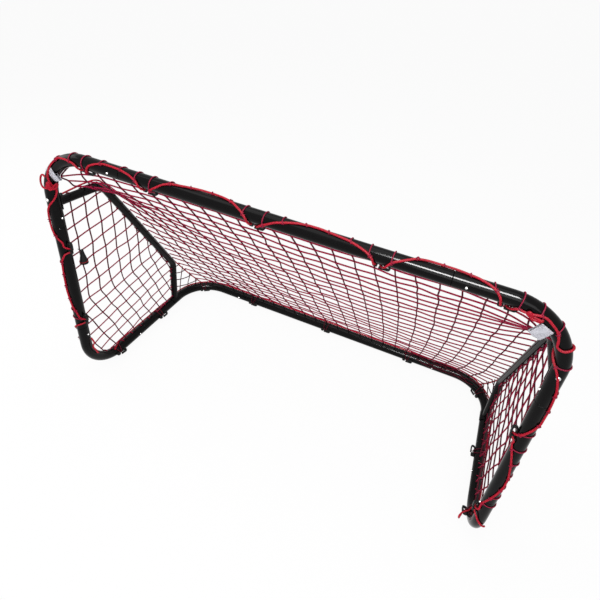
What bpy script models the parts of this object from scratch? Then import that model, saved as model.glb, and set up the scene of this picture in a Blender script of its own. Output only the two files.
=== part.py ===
"""Knock-down sports goal: bent steel tube frame, two side arms, and a net laced on with rope.

The mouth faces -Y, the rear bar lies along +Y, X runs to the right and the ground is z = 0.
"""

import math

import bmesh
import bpy
from mathutils import Matrix, Vector

# Frame: centre line sizes in metres
SPAN = 1.462
CROSSBAR_HEIGHT = 0.931
DEPTH = 0.669

# Main tube and the swaged ends that plug into the corner pieces
TUBE_RADIUS = 0.019
TUBE_WALL = 0.0015
TUBE_SIDES = 16
CORNER_BEND = 0.150
BEND_STEPS = 6
SPIGOT_LENGTH = 0.050
SHOULDER = 0.0015
GAP = 0.0003

# Corner pieces: leg lengths from the crossing of the centre lines to the seam
LEG_ACROSS = 0.281
LEG_DOWN = 0.255
LEG_UP = 0.236
LEG_BACK = 0.273

# Side arm, measured down from the crossbar, up from the ground and ahead of the rear bar
ARM_RADIUS = 0.014
ARM_WALL = 0.0012
ARM_SIDES = 12
ARM_BEND = 0.070
ARM_BEND_STEPS = 4
ARM_FRONT_DROP = 0.1756
ARM_ELBOW_DROP = 0.188
ARM_ELBOW_BACK = 0.181
ARM_KNEE_HEIGHT = 0.225
ARM_KNEE_AHEAD = 0.171
ARM_FOOT_AHEAD = 0.179
COPE_LENGTH = 0.080

# Curved brackets between an arm and the tube that it stands on
BRACKET_THICK = 0.003
FRONT_BRACKET_HEIGHT = 0.048
FRONT_BRACKET_RISE = 0.0015
FRONT_BRACKET_FACETS = 5
FOOT_BRACKET_LENGTH = 0.050
FOOT_BRACKET_FACETS = 7

# Bolt, cap nut and screw
BOLT_RADIUS = 0.003
BOLT_ABOVE_ARM = 0.0186
BOLT_HEAD_RADIUS = 0.00525
BOLT_HEAD_HEIGHT = 0.0033
NUT_RADIUS = 0.0056
NUT_HEIGHT = 0.006
NUT_DOME = 0.004
NUT_BORE_DEPTH = 0.0075
NUT_DOME_RINGS = ((0.86, 0.1), (0.62, 0.7), (0.3, 1.0))
SCREW_RADIUS = 0.0021
SCREW_HEAD_RADIUS = 0.0045
SCREW_HEAD_HEIGHT = 0.0028
SCREW_LENGTH = 0.010
BORE_CLEARANCE = 0.0004
DRILL_FROM = 0.008
DRILL_TO = 0.026
BOLT_DRILL = 0.060
CUT_PAST = 0.002

# Spring button: a pin on a leaf inside the swaged end
BUTTON_RADIUS = 0.0032
BUTTON_PROUD = 0.0035
BUTTON_FROM_SEAM = 0.033
LEAF_LENGTH = 0.024
LEAF_WIDTH = 0.008
LEAF_THICK = 0.001

# Net clip: a hook on a base, pushed into the tube by a peg
CLIP_WIDTH = 0.005
CLIP_BASE = 0.002
CLIP_BAR = 0.003
CLIP_THROAT = 0.0064
CLIP_NECK = 0.007
CLIP_FOOT = 0.006
CLIP_TIP = 0.013
CLIP_LIP = 0.0035
CLIP_LIP_DROP = 0.0008
PEG_RADIUS = 0.0025
PEG_LENGTH = 0.004
PEG_SIDES = 6
DRILL_SIDES = 8

# Where the clips sit, as a share of each straight or bend of the frame
LEFT_POST_CLIPS = (0.255, 0.714)
CROSSBAR_CLIPS = (0.005, 0.184, 0.461, 0.7435, 0.9925)
RIGHT_POST_CLIPS = (0.370, 0.903)
LEFT_SIDE_CLIP = 0.607
RIGHT_SIDE_CLIP = 0.547
LEFT_FOOT_BEND_CLIP = 0.872
RIGHT_FOOT_BEND_CLIP = 0.353
REAR_LEFT_BEND_CLIP = 0.5833
REAR_RIGHT_BEND_CLIP = 0.5833
REAR_BAR_CLIPS = (0.151, 0.4785, 0.816)

# Rope: radius, and its lie on the tube between two clips
ROPE_RADIUS = 0.0025
ROPE_LIE_RATIO = 1.263
MOUTH_LIE_ANGLE = 150
GROUND_LIE_ANGLE = 45
ROPE_TWIST_STEP = 42
ROPE_BEND_STEP = 9
ROPE_RETURN = 0.045
ROPE_TAIL = 0.040
SEAM_CORD_RADIUS = 0.002
SEAM_CORD_START = 0.012
SEAM_CORD_LEAN = 45
SEAM_CORD_END_LEAN = 25
SEAM_CORD_KNEE_LIFT = 0.002

# How the rope passes one clip, in metres from the middle of the hook's throat: along the
# tube towards the hook's tip, sideways towards the tube's face, and away from the tube
HOOK_PASS = (
    (-0.0100, 0.0155, -0.0060),
    (-0.0020, 0.0075, -0.0005),
    (0.0030, 0.0000, 0.0000),
    (0.0090, -0.0062, 0.0005),
    (0.0165, -0.0055, 0.0039),
    (0.0205, 0.0015, 0.0038),
    (0.0240, 0.0085, 0.0003),
    (0.0320, 0.0155, -0.0060),
)

# Net: thickness of a strand, its width, and the cells of each panel
STRAND_THICK = 0.0024
STRAND_WIDTH = 0.0030
BACK_COLUMNS = 11
BACK_RIM_ROWS = (2, 1, 4, 2)
BACK_ROWS = sum(BACK_RIM_ROWS)
BACK_ELBOW_LIFT = 0.011
BACK_SAG = 2.107
BACK_TOP_HALF = 0.665
BACK_LOW_HALF = 0.690
BACK_TOP_ANGLE = -45
BACK_LOW_ANGLE = 87
SIDE_COLUMNS = 4
SIDE_ROWS = 8
NET_GAP = 0.0004

# Cloth tab at each top corner
TAB_LENGTH = 0.040
TAB_WIDTH = 0.034
TAB_THICK = 0.0012
TAB_START = 0.003
TAB_CURL = 0.012
TAB_FOLD = 0.002
TAB_FLAT_SHARE = 0.4
TAB_CELLS = (4, 6)

# Spare net clip that hangs in the left side net, a bell with an eye
BELL_HEIGHT = 0.050
BELL_RADIUS = 0.014
BELL_STEM = 0.0035
BELL_FROM_NET = 0.018
SPARE_CLIP_ROW = 6
SPARE_CLIP_ALONG = 0.10

HALF_SPAN = SPAN / 2
ROPE_LIE = TUBE_RADIUS * ROPE_LIE_RATIO
FRONT_Y = -DEPTH / 2
REAR_Y = DEPTH / 2
FLAT = math.cos(math.pi / TUBE_SIDES)
TUBE_FLAT = TUBE_RADIUS * FLAT
BAR_Z = TUBE_FLAT
TUBE_BORE = TUBE_RADIUS - TUBE_WALL
SPIGOT_RADIUS = TUBE_BORE - GAP
SPIGOT_BORE = SPIGOT_RADIUS - TUBE_WALL
BRACKET_INNER = TUBE_RADIUS + GAP
BRACKET_OUTER = BRACKET_INNER + BRACKET_THICK
ARM_SEAT = BRACKET_OUTER + GAP
ARM_FRONT_Z = CROSSBAR_HEIGHT - ARM_FRONT_DROP
BOLT_Z = ARM_FRONT_Z + BOLT_ABOVE_ARM
FOOT_Y = REAR_Y - ARM_FOOT_AHEAD
ROUND_SIDES = 12
SHARP_ANGLE = math.radians(35)

X, Y, Z = Vector((1, 0, 0)), Vector((0, 1, 0)), Vector((0, 0, 1))


def material(name, colour, roughness, metallic=0.0):
    """A plain Principled material"""
    made = bpy.data.materials.new(name)
    made.use_nodes = True
    shader = made.node_tree.nodes["Principled BSDF"]
    shader.inputs["Base Color"].default_value = (*colour, 1)
    shader.inputs["Roughness"].default_value = roughness
    shader.inputs["Metallic"].default_value = metallic
    return made


def finish(name, bm, look, origin=None):
    """Turns a bmesh into a smooth-shaded object, with its origin where it pivots"""
    bmesh.ops.recalc_face_normals(bm, faces=bm.faces)
    if origin is not None:
        bmesh.ops.translate(bm, vec=-origin, verts=bm.verts)
    mesh = bpy.data.meshes.new(name)
    bm.to_mesh(mesh)
    bm.free()
    mesh.shade_smooth()
    mesh.set_sharp_from_angle(angle=SHARP_ANGLE)
    if look:
        mesh.materials.append(look)
    made = bpy.data.objects.new(name, mesh)
    if origin is not None:
        made.location = origin
    bpy.context.collection.objects.link(made)
    return made


def cutter(name, bm):
    """An object that only cuts others"""
    made = finish(name, bm, None)
    made.hide_render = True
    made.display_type = "WIRE"
    return made


def boolean(target, tool, operation="DIFFERENCE"):
    """Adds an exact Boolean to an object"""
    made = target.modifiers.new(tool.name, "BOOLEAN")
    made.operation = operation
    made.solver = "EXACT"
    made.object = tool


def facing(forward, upward):
    """The turn that takes Z to forward, and Y as near to upward as it goes"""
    side = upward.cross(forward).normalized()
    return Matrix((side, forward.cross(side).normalized(), forward.normalized())).transposed().to_4x4()


def rod(bm, start, end, radius, sides=ROUND_SIDES, upward=None):
    """A closed cylinder from start to end, facets against the given upward side"""
    run = end - start
    up = upward or (X if abs(run.normalized().x) < 0.9 else Y)
    turn = facing(run, up) @ Matrix.Rotation(math.pi / sides, 4, "Z")
    bmesh.ops.create_cone(
        bm,
        cap_ends=True,
        segments=sides,
        radius1=radius,
        radius2=radius,
        depth=run.length,
        matrix=Matrix.Translation((start + end) / 2) @ turn,
    )


def turned(bm, profile, sides, place):
    """Revolves (radius, height) points about Z; the first and last lie on the axis"""
    verts = [bm.verts.new((radius, 0, height)) for radius, height in profile]
    edges = [bm.edges.new(pair) for pair in zip(verts, verts[1:])]
    bmesh.ops.spin(
        bm, geom=verts + edges, axis=Z, cent=(0, 0, 0), angle=math.tau, steps=sides
    )
    bmesh.ops.remove_doubles(bm, verts=bm.verts, dist=0.00001)
    bmesh.ops.transform(bm, matrix=place, verts=bm.verts)


class Route:
    """The centre line of bent tube: straights joined by arcs, with a side that faces inwards"""

    def __init__(self, corners, bend_radius, inward, steps):
        points = [Vector(corner) for corner in corners]
        headings = [(b - a).normalized() for a, b in zip(points, points[1:])]
        self.stretches = []
        self.steps = steps
        here, side = points[0], Vector(inward)
        for index, heading in enumerate(headings):
            last = index == len(headings) - 1
            turn = 0 if last else heading.angle(headings[index + 1])
            trim = bend_radius * math.tan(turn / 2)
            stop = points[index + 1] - heading * trim
            self.add(here, heading, side, (stop - here).length)
            here = stop
            if not last:
                axis = heading.cross(headings[index + 1]).normalized()
                centre = here + axis.cross(heading) * bend_radius
                self.add(here, heading, side, bend_radius * turn, axis, centre)
                spun = Matrix.Rotation(turn, 3, axis)
                here = centre + spun @ (here - centre)
                side = spun @ side
        self.length = sum(stretch["length"] for stretch in self.stretches)

    def add(self, start, heading, inward, length, axis=None, centre=None):
        """Appends one straight, or one arc if it has an axis"""
        self.stretches.append(
            {
                "start": start.copy(),
                "heading": heading.copy(),
                "inward": inward.copy(),
                "length": length,
                "axis": axis,
                "centre": centre,
            }
        )

    def mark(self, stretch, share):
        """The distance along the route at a share of one stretch"""
        before = sum(item["length"] for item in self.stretches[:stretch])
        return before + self.stretches[stretch]["length"] * share

    def at(self, distance):
        """Point, heading, inward side and face side at a distance along the route"""
        for item in self.stretches:
            if distance <= item["length"] or item is self.stretches[-1]:
                break
            distance -= item["length"]
        if item["axis"] is None:
            point, heading = item["start"] + item["heading"] * distance, item["heading"]
            inward = item["inward"]
        else:
            spoke = item["start"] - item["centre"]
            angle = distance / spoke.length
            facet = item["length"] / spoke.length / self.steps
            chord = math.cos(facet / 2) / math.cos(angle % facet - facet / 2)
            spun = Matrix.Rotation(angle, 3, item["axis"])
            point = item["centre"] + spun @ spoke * chord
            heading = spun @ item["heading"]
            inward = spun @ item["inward"]
        return point, heading, inward, inward.cross(heading)

    def around(self, distance, degrees, reach):
        """A point beside the route, by its angle from the inward side and its reach"""
        point, _, inward, face = self.at(distance)
        angle = math.radians(degrees)
        return point + (inward * math.cos(angle) + face * math.sin(angle)) * reach


def start_ring(bm, centre, forward, upward, radius, bore, sides):
    """The flat end face of a tube, with facets towards upward"""
    turn = facing(forward, upward) @ Matrix.Rotation(math.pi / sides, 4, "Z")
    verts = []
    for rim in (radius, bore):
        circle = bmesh.ops.create_circle(
            bm, segments=sides, radius=rim, matrix=Matrix.Translation(centre) @ turn
        )
        verts += circle["verts"]
    edges = list({edge for vert in verts for edge in vert.link_edges})
    return bmesh.ops.bridge_loops(bm, edges=edges)["faces"]


def drop_inner(bm, faces):
    """Deletes the faces that an extrusion has left inside the wall of a tube"""
    valid = [face for face in faces if face.is_valid]
    if any(len(edge.link_faces) > 2 for face in valid for edge in face.edges):
        bmesh.ops.delete(bm, geom=valid, context="FACES")


def extend(bm, face_ring, run, radius, bore):
    """Pulls a tube's end straight on, to the given outer and inner radius"""
    grown = bmesh.ops.extrude_face_region(bm, geom=face_ring)["geom"]
    drop_inner(bm, face_ring)
    faces = [item for item in grown if isinstance(item, bmesh.types.BMFace)]
    verts = list({vert for face in faces for vert in face.verts})
    bmesh.ops.translate(bm, vec=run, verts=verts)
    centre = sum((vert.co for vert in verts), Vector()) / len(verts)
    middle = sum((vert.co - centre).length for vert in verts) / len(verts)
    for vert in verts:
        arm = vert.co - centre
        vert.co = centre + arm.normalized() * (radius if arm.length > middle else bore)
    return faces


def tube(name, corners, look, upward, size, bend=(CORNER_BEND, BEND_STEPS), spigots=(False, False)):
    """A hollow tube along straight runs and bends, with a swaged end where asked"""
    radius, bore, sides = size
    points = [Vector(corner) for corner in corners]
    headings = [(b - a).normalized() for a, b in zip(points, points[1:])]
    bm = bmesh.new()
    here = points[0]
    if spigots[0]:
        here = points[0] - headings[0] * SPIGOT_LENGTH
        end = start_ring(bm, here, headings[0], upward, SPIGOT_RADIUS, SPIGOT_BORE, sides)
        end = extend(bm, end, headings[0] * (SPIGOT_LENGTH + GAP), SPIGOT_RADIUS, SPIGOT_BORE)
        end = extend(bm, end, headings[0] * SHOULDER, radius, bore)
        here = points[0] + headings[0] * (GAP + SHOULDER)
    else:
        end = start_ring(bm, here, headings[0], upward, radius, bore, sides)
    for index, heading in enumerate(headings[:-1]):
        turn = heading.angle(headings[index + 1])
        stop = points[index + 1] - heading * bend[0] * math.tan(turn / 2)
        end = extend(bm, end, stop - here, radius, bore)
        axis = heading.cross(headings[index + 1]).normalized()
        centre = stop + axis.cross(heading) * bend[0]
        spun = bmesh.ops.spin(bm, geom=end, cent=centre, axis=axis, angle=turn, steps=bend[1])
        drop_inner(bm, end)
        end = [item for item in spun["geom_last"] if isinstance(item, bmesh.types.BMFace)]
        here = centre + Matrix.Rotation(turn, 3, axis) @ (stop - centre)
    last = headings[-1]
    if spigots[1]:
        end = extend(bm, end, points[-1] - last * (GAP + SHOULDER) - here, radius, bore)
        end = extend(bm, end, last * SHOULDER, SPIGOT_RADIUS, SPIGOT_BORE)
        extend(bm, end, last * (SPIGOT_LENGTH + GAP), SPIGOT_RADIUS, SPIGOT_BORE)
    else:
        extend(bm, end, points[-1] - here, radius, bore)
    return finish(name, bm, look)


def frame_tubes(steel):
    """The ten main tubes: four straight, four front corners and two rear corners"""
    size = (TUBE_RADIUS, TUBE_BORE, TUBE_SIDES)
    top, low = CROSSBAR_HEIGHT, BAR_Z
    seam_x = HALF_SPAN - LEG_ACROSS
    seam_top, seam_low = top - LEG_DOWN, low + LEG_UP
    seam_back = FRONT_Y + LEG_BACK
    made = [
        tube(
            "crossbar",
            [(-seam_x, FRONT_Y, top), (seam_x, FRONT_Y, top)],
            steel,
            Z,
            size,
            spigots=(True, True),
        ),
        tube(
            "rear_bar",
            [(-seam_x, REAR_Y, low), (seam_x, REAR_Y, low)],
            steel,
            Z,
            size,
            spigots=(True, True),
        ),
    ]
    for side, x in (("left", -HALF_SPAN), ("right", HALF_SPAN)):
        inner = math.copysign(seam_x, x)
        made += [
            tube(
                f"{side}_upright",
                [(x, FRONT_Y, seam_low), (x, FRONT_Y, seam_top)],
                steel,
                Y,
                size,
                spigots=(True, True),
            ),
            tube(
                f"top_{side}_corner",
                [(x, FRONT_Y, seam_top), (x, FRONT_Y, top), (inner, FRONT_Y, top)],
                steel,
                Y,
                size,
            ),
            tube(
                f"bottom_{side}_corner",
                [(x, FRONT_Y, seam_low), (x, FRONT_Y, low), (x, seam_back, low)],
                steel,
                Y,
                size,
            ),
            tube(
                f"rear_{side}_corner",
                [(x, seam_back, low), (x, REAR_Y, low), (inner, REAR_Y, low)],
                steel,
                Z,
                size,
                spigots=(True, False),
            ),
        ]
    return made


def arm_corners(x):
    """Corners of a side arm's centre line, from the upright to the ground bar"""
    return [
        Vector((x, FRONT_Y, ARM_FRONT_Z)),
        Vector((x, FRONT_Y + ARM_ELBOW_BACK, CROSSBAR_HEIGHT - ARM_ELBOW_DROP)),
        Vector((x, REAR_Y - ARM_KNEE_AHEAD, ARM_KNEE_HEIGHT)),
        Vector((x, FOOT_Y, BAR_Z + TUBE_RADIUS / 2)),
    ]


def side_arm(side, x, steel):
    """A bent arm whose ends are coped to sit on the curved brackets"""
    size = (ARM_RADIUS, ARM_RADIUS - ARM_WALL, ARM_SIDES)
    arm = tube(f"{side}_arm", arm_corners(x), steel, X, size, bend=(ARM_BEND, ARM_BEND_STEPS))
    bm = bmesh.new()
    reach = ARM_SEAT / math.cos(math.pi / (2 * ROUND_SIDES))
    upright = Vector((x, FRONT_Y, ARM_FRONT_Z))
    bar = Vector((x, FOOT_Y, BAR_Z))
    for seat, along in ((upright, Z), (bar, Y)):
        half = along * COPE_LENGTH / 2
        rod(bm, seat - half, seat + half, reach, 2 * ROUND_SIDES)
    boolean(arm, cutter(f"{side}_arm_coping", bm))
    return arm


def bracket(name, centre, along, outward, length, facets, look):
    """A plate curved round a tube, its facets in line with the tube's"""
    step = math.tau / TUBE_SIDES
    angles = [(index - facets / 2) * step for index in range(facets + 1)]
    across = along.cross(outward)
    rim = [(BRACKET_OUTER, angle) for angle in angles]
    rim += [(BRACKET_INNER, angle) for angle in reversed(angles)]
    bm = bmesh.new()
    start = centre - along * length / 2
    verts = [
        bm.verts.new(start + (outward * math.cos(angle) + across * math.sin(angle)) * reach)
        for reach, angle in rim
    ]
    face = bm.faces.new(verts)
    grown = bmesh.ops.extrude_face_region(bm, geom=[face])["geom"]
    moved = [item for item in grown if isinstance(item, bmesh.types.BMVert)]
    bmesh.ops.translate(bm, vec=along * length, verts=moved)
    return finish(name, bm, look)


def domed(bm, seat, outward, radius, height, shank_radius, shank_length):
    """A round-headed fastener whose head sits at seat and whose shank runs inwards"""
    profile = (
        (0, -shank_length),
        (shank_radius, -shank_length),
        (shank_radius, 0),
        (radius, 0),
        (radius, height * 0.35),
        (radius * 0.7, height * 0.9),
        (0, height),
    )
    up = X if abs(outward.x) < 0.9 else Y
    turned(bm, profile, ROUND_SIDES, Matrix.Translation(seat) @ facing(outward, up))


def arm_fixings(side, x, steel, zinc, black):
    """Brackets, front bolt, cap nut and foot screw of one arm; returns what they drill"""
    outward = Vector((math.copysign(1, x), 0, 0))
    bracket_z = ARM_FRONT_Z + FRONT_BRACKET_RISE
    front = bracket(
        f"{side}_front_bracket",
        Vector((x, FRONT_Y, bracket_z)),
        Z,
        Y,
        FRONT_BRACKET_HEIGHT,
        FRONT_BRACKET_FACETS,
        black,
    )
    foot = bracket(
        f"{side}_foot_bracket",
        Vector((x, FOOT_Y, BAR_Z)),
        Y,
        Z,
        FOOT_BRACKET_LENGTH,
        FOOT_BRACKET_FACETS,
        black,
    )
    back_face = BRACKET_OUTER * FLAT
    bolt_axis = Vector((x, FRONT_Y, BOLT_Z))
    bm = bmesh.new()
    seat = bolt_axis - Y * (TUBE_FLAT + GAP)
    length = TUBE_FLAT + back_face + GAP + NUT_BORE_DEPTH
    domed(bm, seat, -Y, BOLT_HEAD_RADIUS, BOLT_HEAD_HEIGHT, BOLT_RADIUS, length)
    finish(f"{side}_arm_bolt", bm, zinc)
    cap_nut(f"{side}_cap_nut", bolt_axis + Y * (back_face + GAP), black)

    lean = math.radians(360 / TUBE_SIDES * 3)
    normal = Z * math.cos(lean) + outward * math.sin(lean)
    bar = Vector((x, FOOT_Y, BAR_Z))
    bm = bmesh.new()
    seat = bar + normal * (back_face + GAP)
    domed(bm, seat, normal, SCREW_HEAD_RADIUS, SCREW_HEAD_HEIGHT, SCREW_RADIUS, SCREW_LENGTH)
    finish(f"{side}_foot_screw", bm, zinc)

    drill = bmesh.new()
    hole = BOLT_RADIUS + BORE_CLEARANCE
    rod(drill, bolt_axis - Y * BOLT_DRILL / 2, bolt_axis + Y * BOLT_DRILL / 2, hole)
    hole = SCREW_RADIUS + BORE_CLEARANCE
    rod(drill, bar + normal * DRILL_FROM, bar + normal * BOLT_DRILL / 2, hole)
    drilled = cutter(f"{side}_fixing_drill", drill)
    boolean(front, drilled)
    boolean(foot, drilled)
    return drilled


def cap_nut(name, seat, look):
    """A hexagon cap nut with a blind bore, facing back"""
    bm = bmesh.new()
    turn = Matrix.Translation(seat + Y * NUT_HEIGHT / 2) @ facing(Y, Z)
    bmesh.ops.create_cone(
        bm,
        cap_ends=True,
        segments=6,
        radius1=NUT_RADIUS,
        radius2=NUT_RADIUS,
        depth=NUT_HEIGHT,
        matrix=turn,
    )
    bm.faces.ensure_lookup_table()
    end = max(bm.faces, key=lambda face: face.calc_center_median().y)
    for share, lift in NUT_DOME_RINGS:
        grown = bmesh.ops.extrude_face_region(bm, geom=[end])["geom"]
        drop_inner(bm, [end])
        end = next(item for item in grown if isinstance(item, bmesh.types.BMFace))
        for vert in end.verts:
            arm = vert.co - seat
            arm.y = 0
            vert.co = seat + Y * (NUT_HEIGHT + NUT_DOME * lift) + arm.normalized() * NUT_RADIUS * share
    nut = finish(name, bm, look)
    bore = bmesh.new()
    rod(bore, seat - Y * CUT_PAST, seat + Y * (NUT_BORE_DEPTH + GAP), BOLT_RADIUS + GAP)
    boolean(nut, cutter(f"{name}_bore", bore))
    return nut


def spring_button(name, centre, outward, along, look):
    """A domed pin on a spring leaf; its origin is where its line of travel meets the tube's axis"""
    room = SPIGOT_BORE * FLAT - GAP
    leaf_top = math.sqrt(room**2 - (LEAF_WIDTH / 2) ** 2)
    tip = TUBE_RADIUS + BUTTON_PROUD
    profile = (
        (0, leaf_top - LEAF_THICK / 2),
        (BUTTON_RADIUS, leaf_top - LEAF_THICK / 2),
        (BUTTON_RADIUS, tip - BUTTON_RADIUS * 0.7),
        (BUTTON_RADIUS * 0.75, tip - BUTTON_RADIUS * 0.2),
        (0, tip),
    )
    place = Matrix.Translation(centre) @ facing(outward, along)
    bm = bmesh.new()
    turned(bm, profile, ROUND_SIDES, place)
    button = finish(name, bm, look, centre)
    leaf = bmesh.new()
    size = Matrix.Diagonal((LEAF_WIDTH, LEAF_LENGTH, LEAF_THICK, 1))
    lift = Matrix.Translation(Z * (leaf_top - LEAF_THICK / 2))
    bmesh.ops.create_cube(leaf, size=1, matrix=place @ lift @ size)
    boolean(button, cutter(f"{name}_leaf", leaf), "UNION")
    return button


def frame_buttons(zinc, drill):
    """Two spring buttons for each seam of the frame; drills their holes too"""
    seam_x = HALF_SPAN - LEG_ACROSS + BUTTON_FROM_SEAM
    top = CROSSBAR_HEIGHT - LEG_DOWN + BUTTON_FROM_SEAM
    low = BAR_Z + LEG_UP - BUTTON_FROM_SEAM
    back = FRONT_Y + LEG_BACK - BUTTON_FROM_SEAM
    for side, hand in (("left", -1), ("right", 1)):
        post = hand * HALF_SPAN
        inner = -X * hand
        places = (
            (f"{side}_crossbar_button", (hand * seam_x, FRONT_Y, CROSSBAR_HEIGHT), -Y, X),
            (f"{side}_rear_button", (hand * seam_x, REAR_Y, BAR_Z), -Y, X),
            (f"{side}_upper_button", (post, FRONT_Y, top), inner, Z),
            (f"{side}_lower_button", (post, FRONT_Y, low), inner, Z),
            (f"{side}_ground_button", (post, back, BAR_Z), inner, Y),
        )
        for name, centre, outward, along in places:
            centre = Vector(centre)
            spring_button(name, centre, outward, along, zinc)
            hole = BUTTON_RADIUS + BORE_CLEARANCE
            start, stop = centre + outward * DRILL_FROM, centre + outward * DRILL_TO
            rod(drill, start, stop, hole, DRILL_SIDES)


def clip_outline():
    """Side view of the hook, as (along, away from the tube) points"""
    top = CLIP_BASE + CLIP_THROAT + CLIP_BAR
    middle, outer = top / 2, top / 2
    inner_middle, inner = CLIP_BASE + CLIP_THROAT / 2, CLIP_THROAT / 2
    turn = [math.radians(90 + 180 * step / 4) for step in range(5)]
    points = [(CLIP_FOOT, 0)]
    points += [(-CLIP_NECK + outer * math.cos(a), middle - outer * math.sin(a)) for a in turn]
    points += [(CLIP_TIP - CLIP_BAR / 3, top), (CLIP_TIP, top - CLIP_BAR / 3)]
    lip = CLIP_BASE + CLIP_THROAT - CLIP_LIP_DROP
    points += [(CLIP_TIP, lip), (CLIP_TIP - CLIP_LIP, lip + CLIP_LIP_DROP)]
    points += [
        (-CLIP_NECK + inner * math.cos(a), inner_middle + inner * math.sin(a)) for a in turn
    ]
    points += [(CLIP_FOOT, CLIP_BASE)]
    return points


def net_clip(name, route, distance, heading_sign, look, drill):
    """A hook pushed into the tube's inner side, its tip along or against the route"""
    point, heading, inward, face = route.at(distance)
    along = heading * heading_sign
    seat = point + inward * (TUBE_FLAT + GAP)
    bm = bmesh.new()
    verts = [
        bm.verts.new(seat + along * a + inward * b - face * CLIP_WIDTH / 2)
        for a, b in clip_outline()
    ]
    outline = bm.faces.new(verts)
    grown = bmesh.ops.extrude_face_region(bm, geom=[outline])["geom"]
    moved = [item for item in grown if isinstance(item, bmesh.types.BMVert)]
    bmesh.ops.translate(bm, vec=face * CLIP_WIDTH, verts=moved)
    clip = finish(name, bm, look)
    peg = bmesh.new()
    tip, root = seat - inward * PEG_LENGTH, seat + inward * CLIP_BASE / 2
    rod(peg, tip, root, PEG_RADIUS, PEG_SIDES, along)
    boolean(clip, cutter(f"{name}_peg", peg), "UNION")
    start, stop = point + inward * DRILL_FROM, point + inward * DRILL_TO
    rod(drill, start, stop, PEG_RADIUS + BORE_CLEARANCE, DRILL_SIDES)


def clip_places(mouth, ground):
    """Name, route, distance and the way the tip points, for every clip, in rope order"""
    on_mouth = [("left_post", 0, share, -1) for share in LEFT_POST_CLIPS]
    on_mouth += [("crossbar", 2, share, -1) for share in CROSSBAR_CLIPS]
    on_mouth += [("right_post", 4, share, 1) for share in RIGHT_POST_CLIPS]
    on_ground = [
        ("left_foot", 1, LEFT_FOOT_BEND_CLIP, -1),
        ("left_side", 2, LEFT_SIDE_CLIP, -1),
        ("rear_left", 3, REAR_LEFT_BEND_CLIP, -1),
        *(("rear", 4, share, -1) for share in REAR_BAR_CLIPS),
        ("rear_right", 5, REAR_RIGHT_BEND_CLIP, 1),
        ("right_side", 6, RIGHT_SIDE_CLIP, 1),
        ("right_foot", 7, RIGHT_FOOT_BEND_CLIP, 1),
    ]
    return [
        [
            (f"clip_{where}_{index + 1}", route, route.mark(stretch, share), sign)
            for index, (where, stretch, share, sign) in enumerate(spots)
        ]
        for route, spots in ((mouth, on_mouth), (ground, on_ground))
    ]


def rope_turns(places, lie_angle, detours=()):
    """Where a border rope lies: (distance, degrees, reach) past every clip of a route"""
    turns = []
    throat = TUBE_FLAT + GAP + CLIP_BASE + CLIP_THROAT / 2
    for _, route, spot, sign in places:
        ends = [route.around(spot + half, 0, ROPE_LIE) for half in (-CLIP_NECK, CLIP_NECK)]
        spread = sign * CLIP_NECK * 2 / (ends[1] - ends[0]).length
        steps = [
            (
                spot + spread * along,
                math.degrees(math.atan2(sideways, throat + away)),
                math.hypot(sideways, throat + away),
            )
            for along, sideways, away in HOOK_PASS
        ]
        steps.sort()
        before = (steps[0][0] - ROPE_RETURN, lie_angle, ROPE_LIE)
        after = (steps[-1][0] + ROPE_RETURN, lie_angle, ROPE_LIE)
        turns += [before, *steps, after]
    return sorted([*turns, *detours])


def rope(name, points, radius, look):
    """A closed tube along points"""
    curve = bpy.data.curves.new(name, "CURVE")
    curve.dimensions = "3D"
    curve.bevel_depth = radius
    curve.bevel_resolution = 1
    curve.use_fill_caps = True
    spline = curve.splines.new("POLY")
    spline.points.add(len(points) - 1)
    for slot, point in zip(spline.points, points):
        slot.co = (*point, 1)
    curve.materials.append(look)
    made = bpy.data.objects.new(name, curve)
    bpy.context.collection.objects.link(made)
    return made


def laid(route, turns):
    """Points of a rope wound from turn to turn, close enough to stay off the tube"""
    points = [route.around(*turns[0])]
    for one, two in zip(turns, turns[1:]):
        bend = math.degrees(route.at(one[0])[1].angle(route.at(two[0])[1]))
        twist = abs(two[1] - one[1])
        count = max(1, math.ceil(twist / ROPE_TWIST_STEP + bend / ROPE_BEND_STEP - 0.2))
        for step in range(1, count + 1):
            share = step / count
            points.append(route.around(*(a + (b - a) * share for a, b in zip(one, two))))
    return points


def net_sheet(name, place, columns, rows, look):
    """A net panel: every cell of a mapped grid is inset and opened, then given thickness"""
    bm = bmesh.new()
    bmesh.ops.create_grid(bm, x_segments=columns, y_segments=rows, size=0.5)
    for vert in bm.verts:
        vert.co = place(vert.co.x + 0.5, vert.co.y + 0.5)
    bm.normal_update()
    cells = list(bm.faces)
    bmesh.ops.inset_individual(bm, faces=cells, thickness=STRAND_WIDTH / 2, use_even_offset=True)
    bmesh.ops.delete(bm, geom=cells, context="FACES")
    panel = finish(name, bm, look)
    thick = panel.modifiers.new("Strand thickness", "SOLIDIFY")
    thick.thickness = STRAND_THICK
    thick.offset = 0
    return panel


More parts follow.
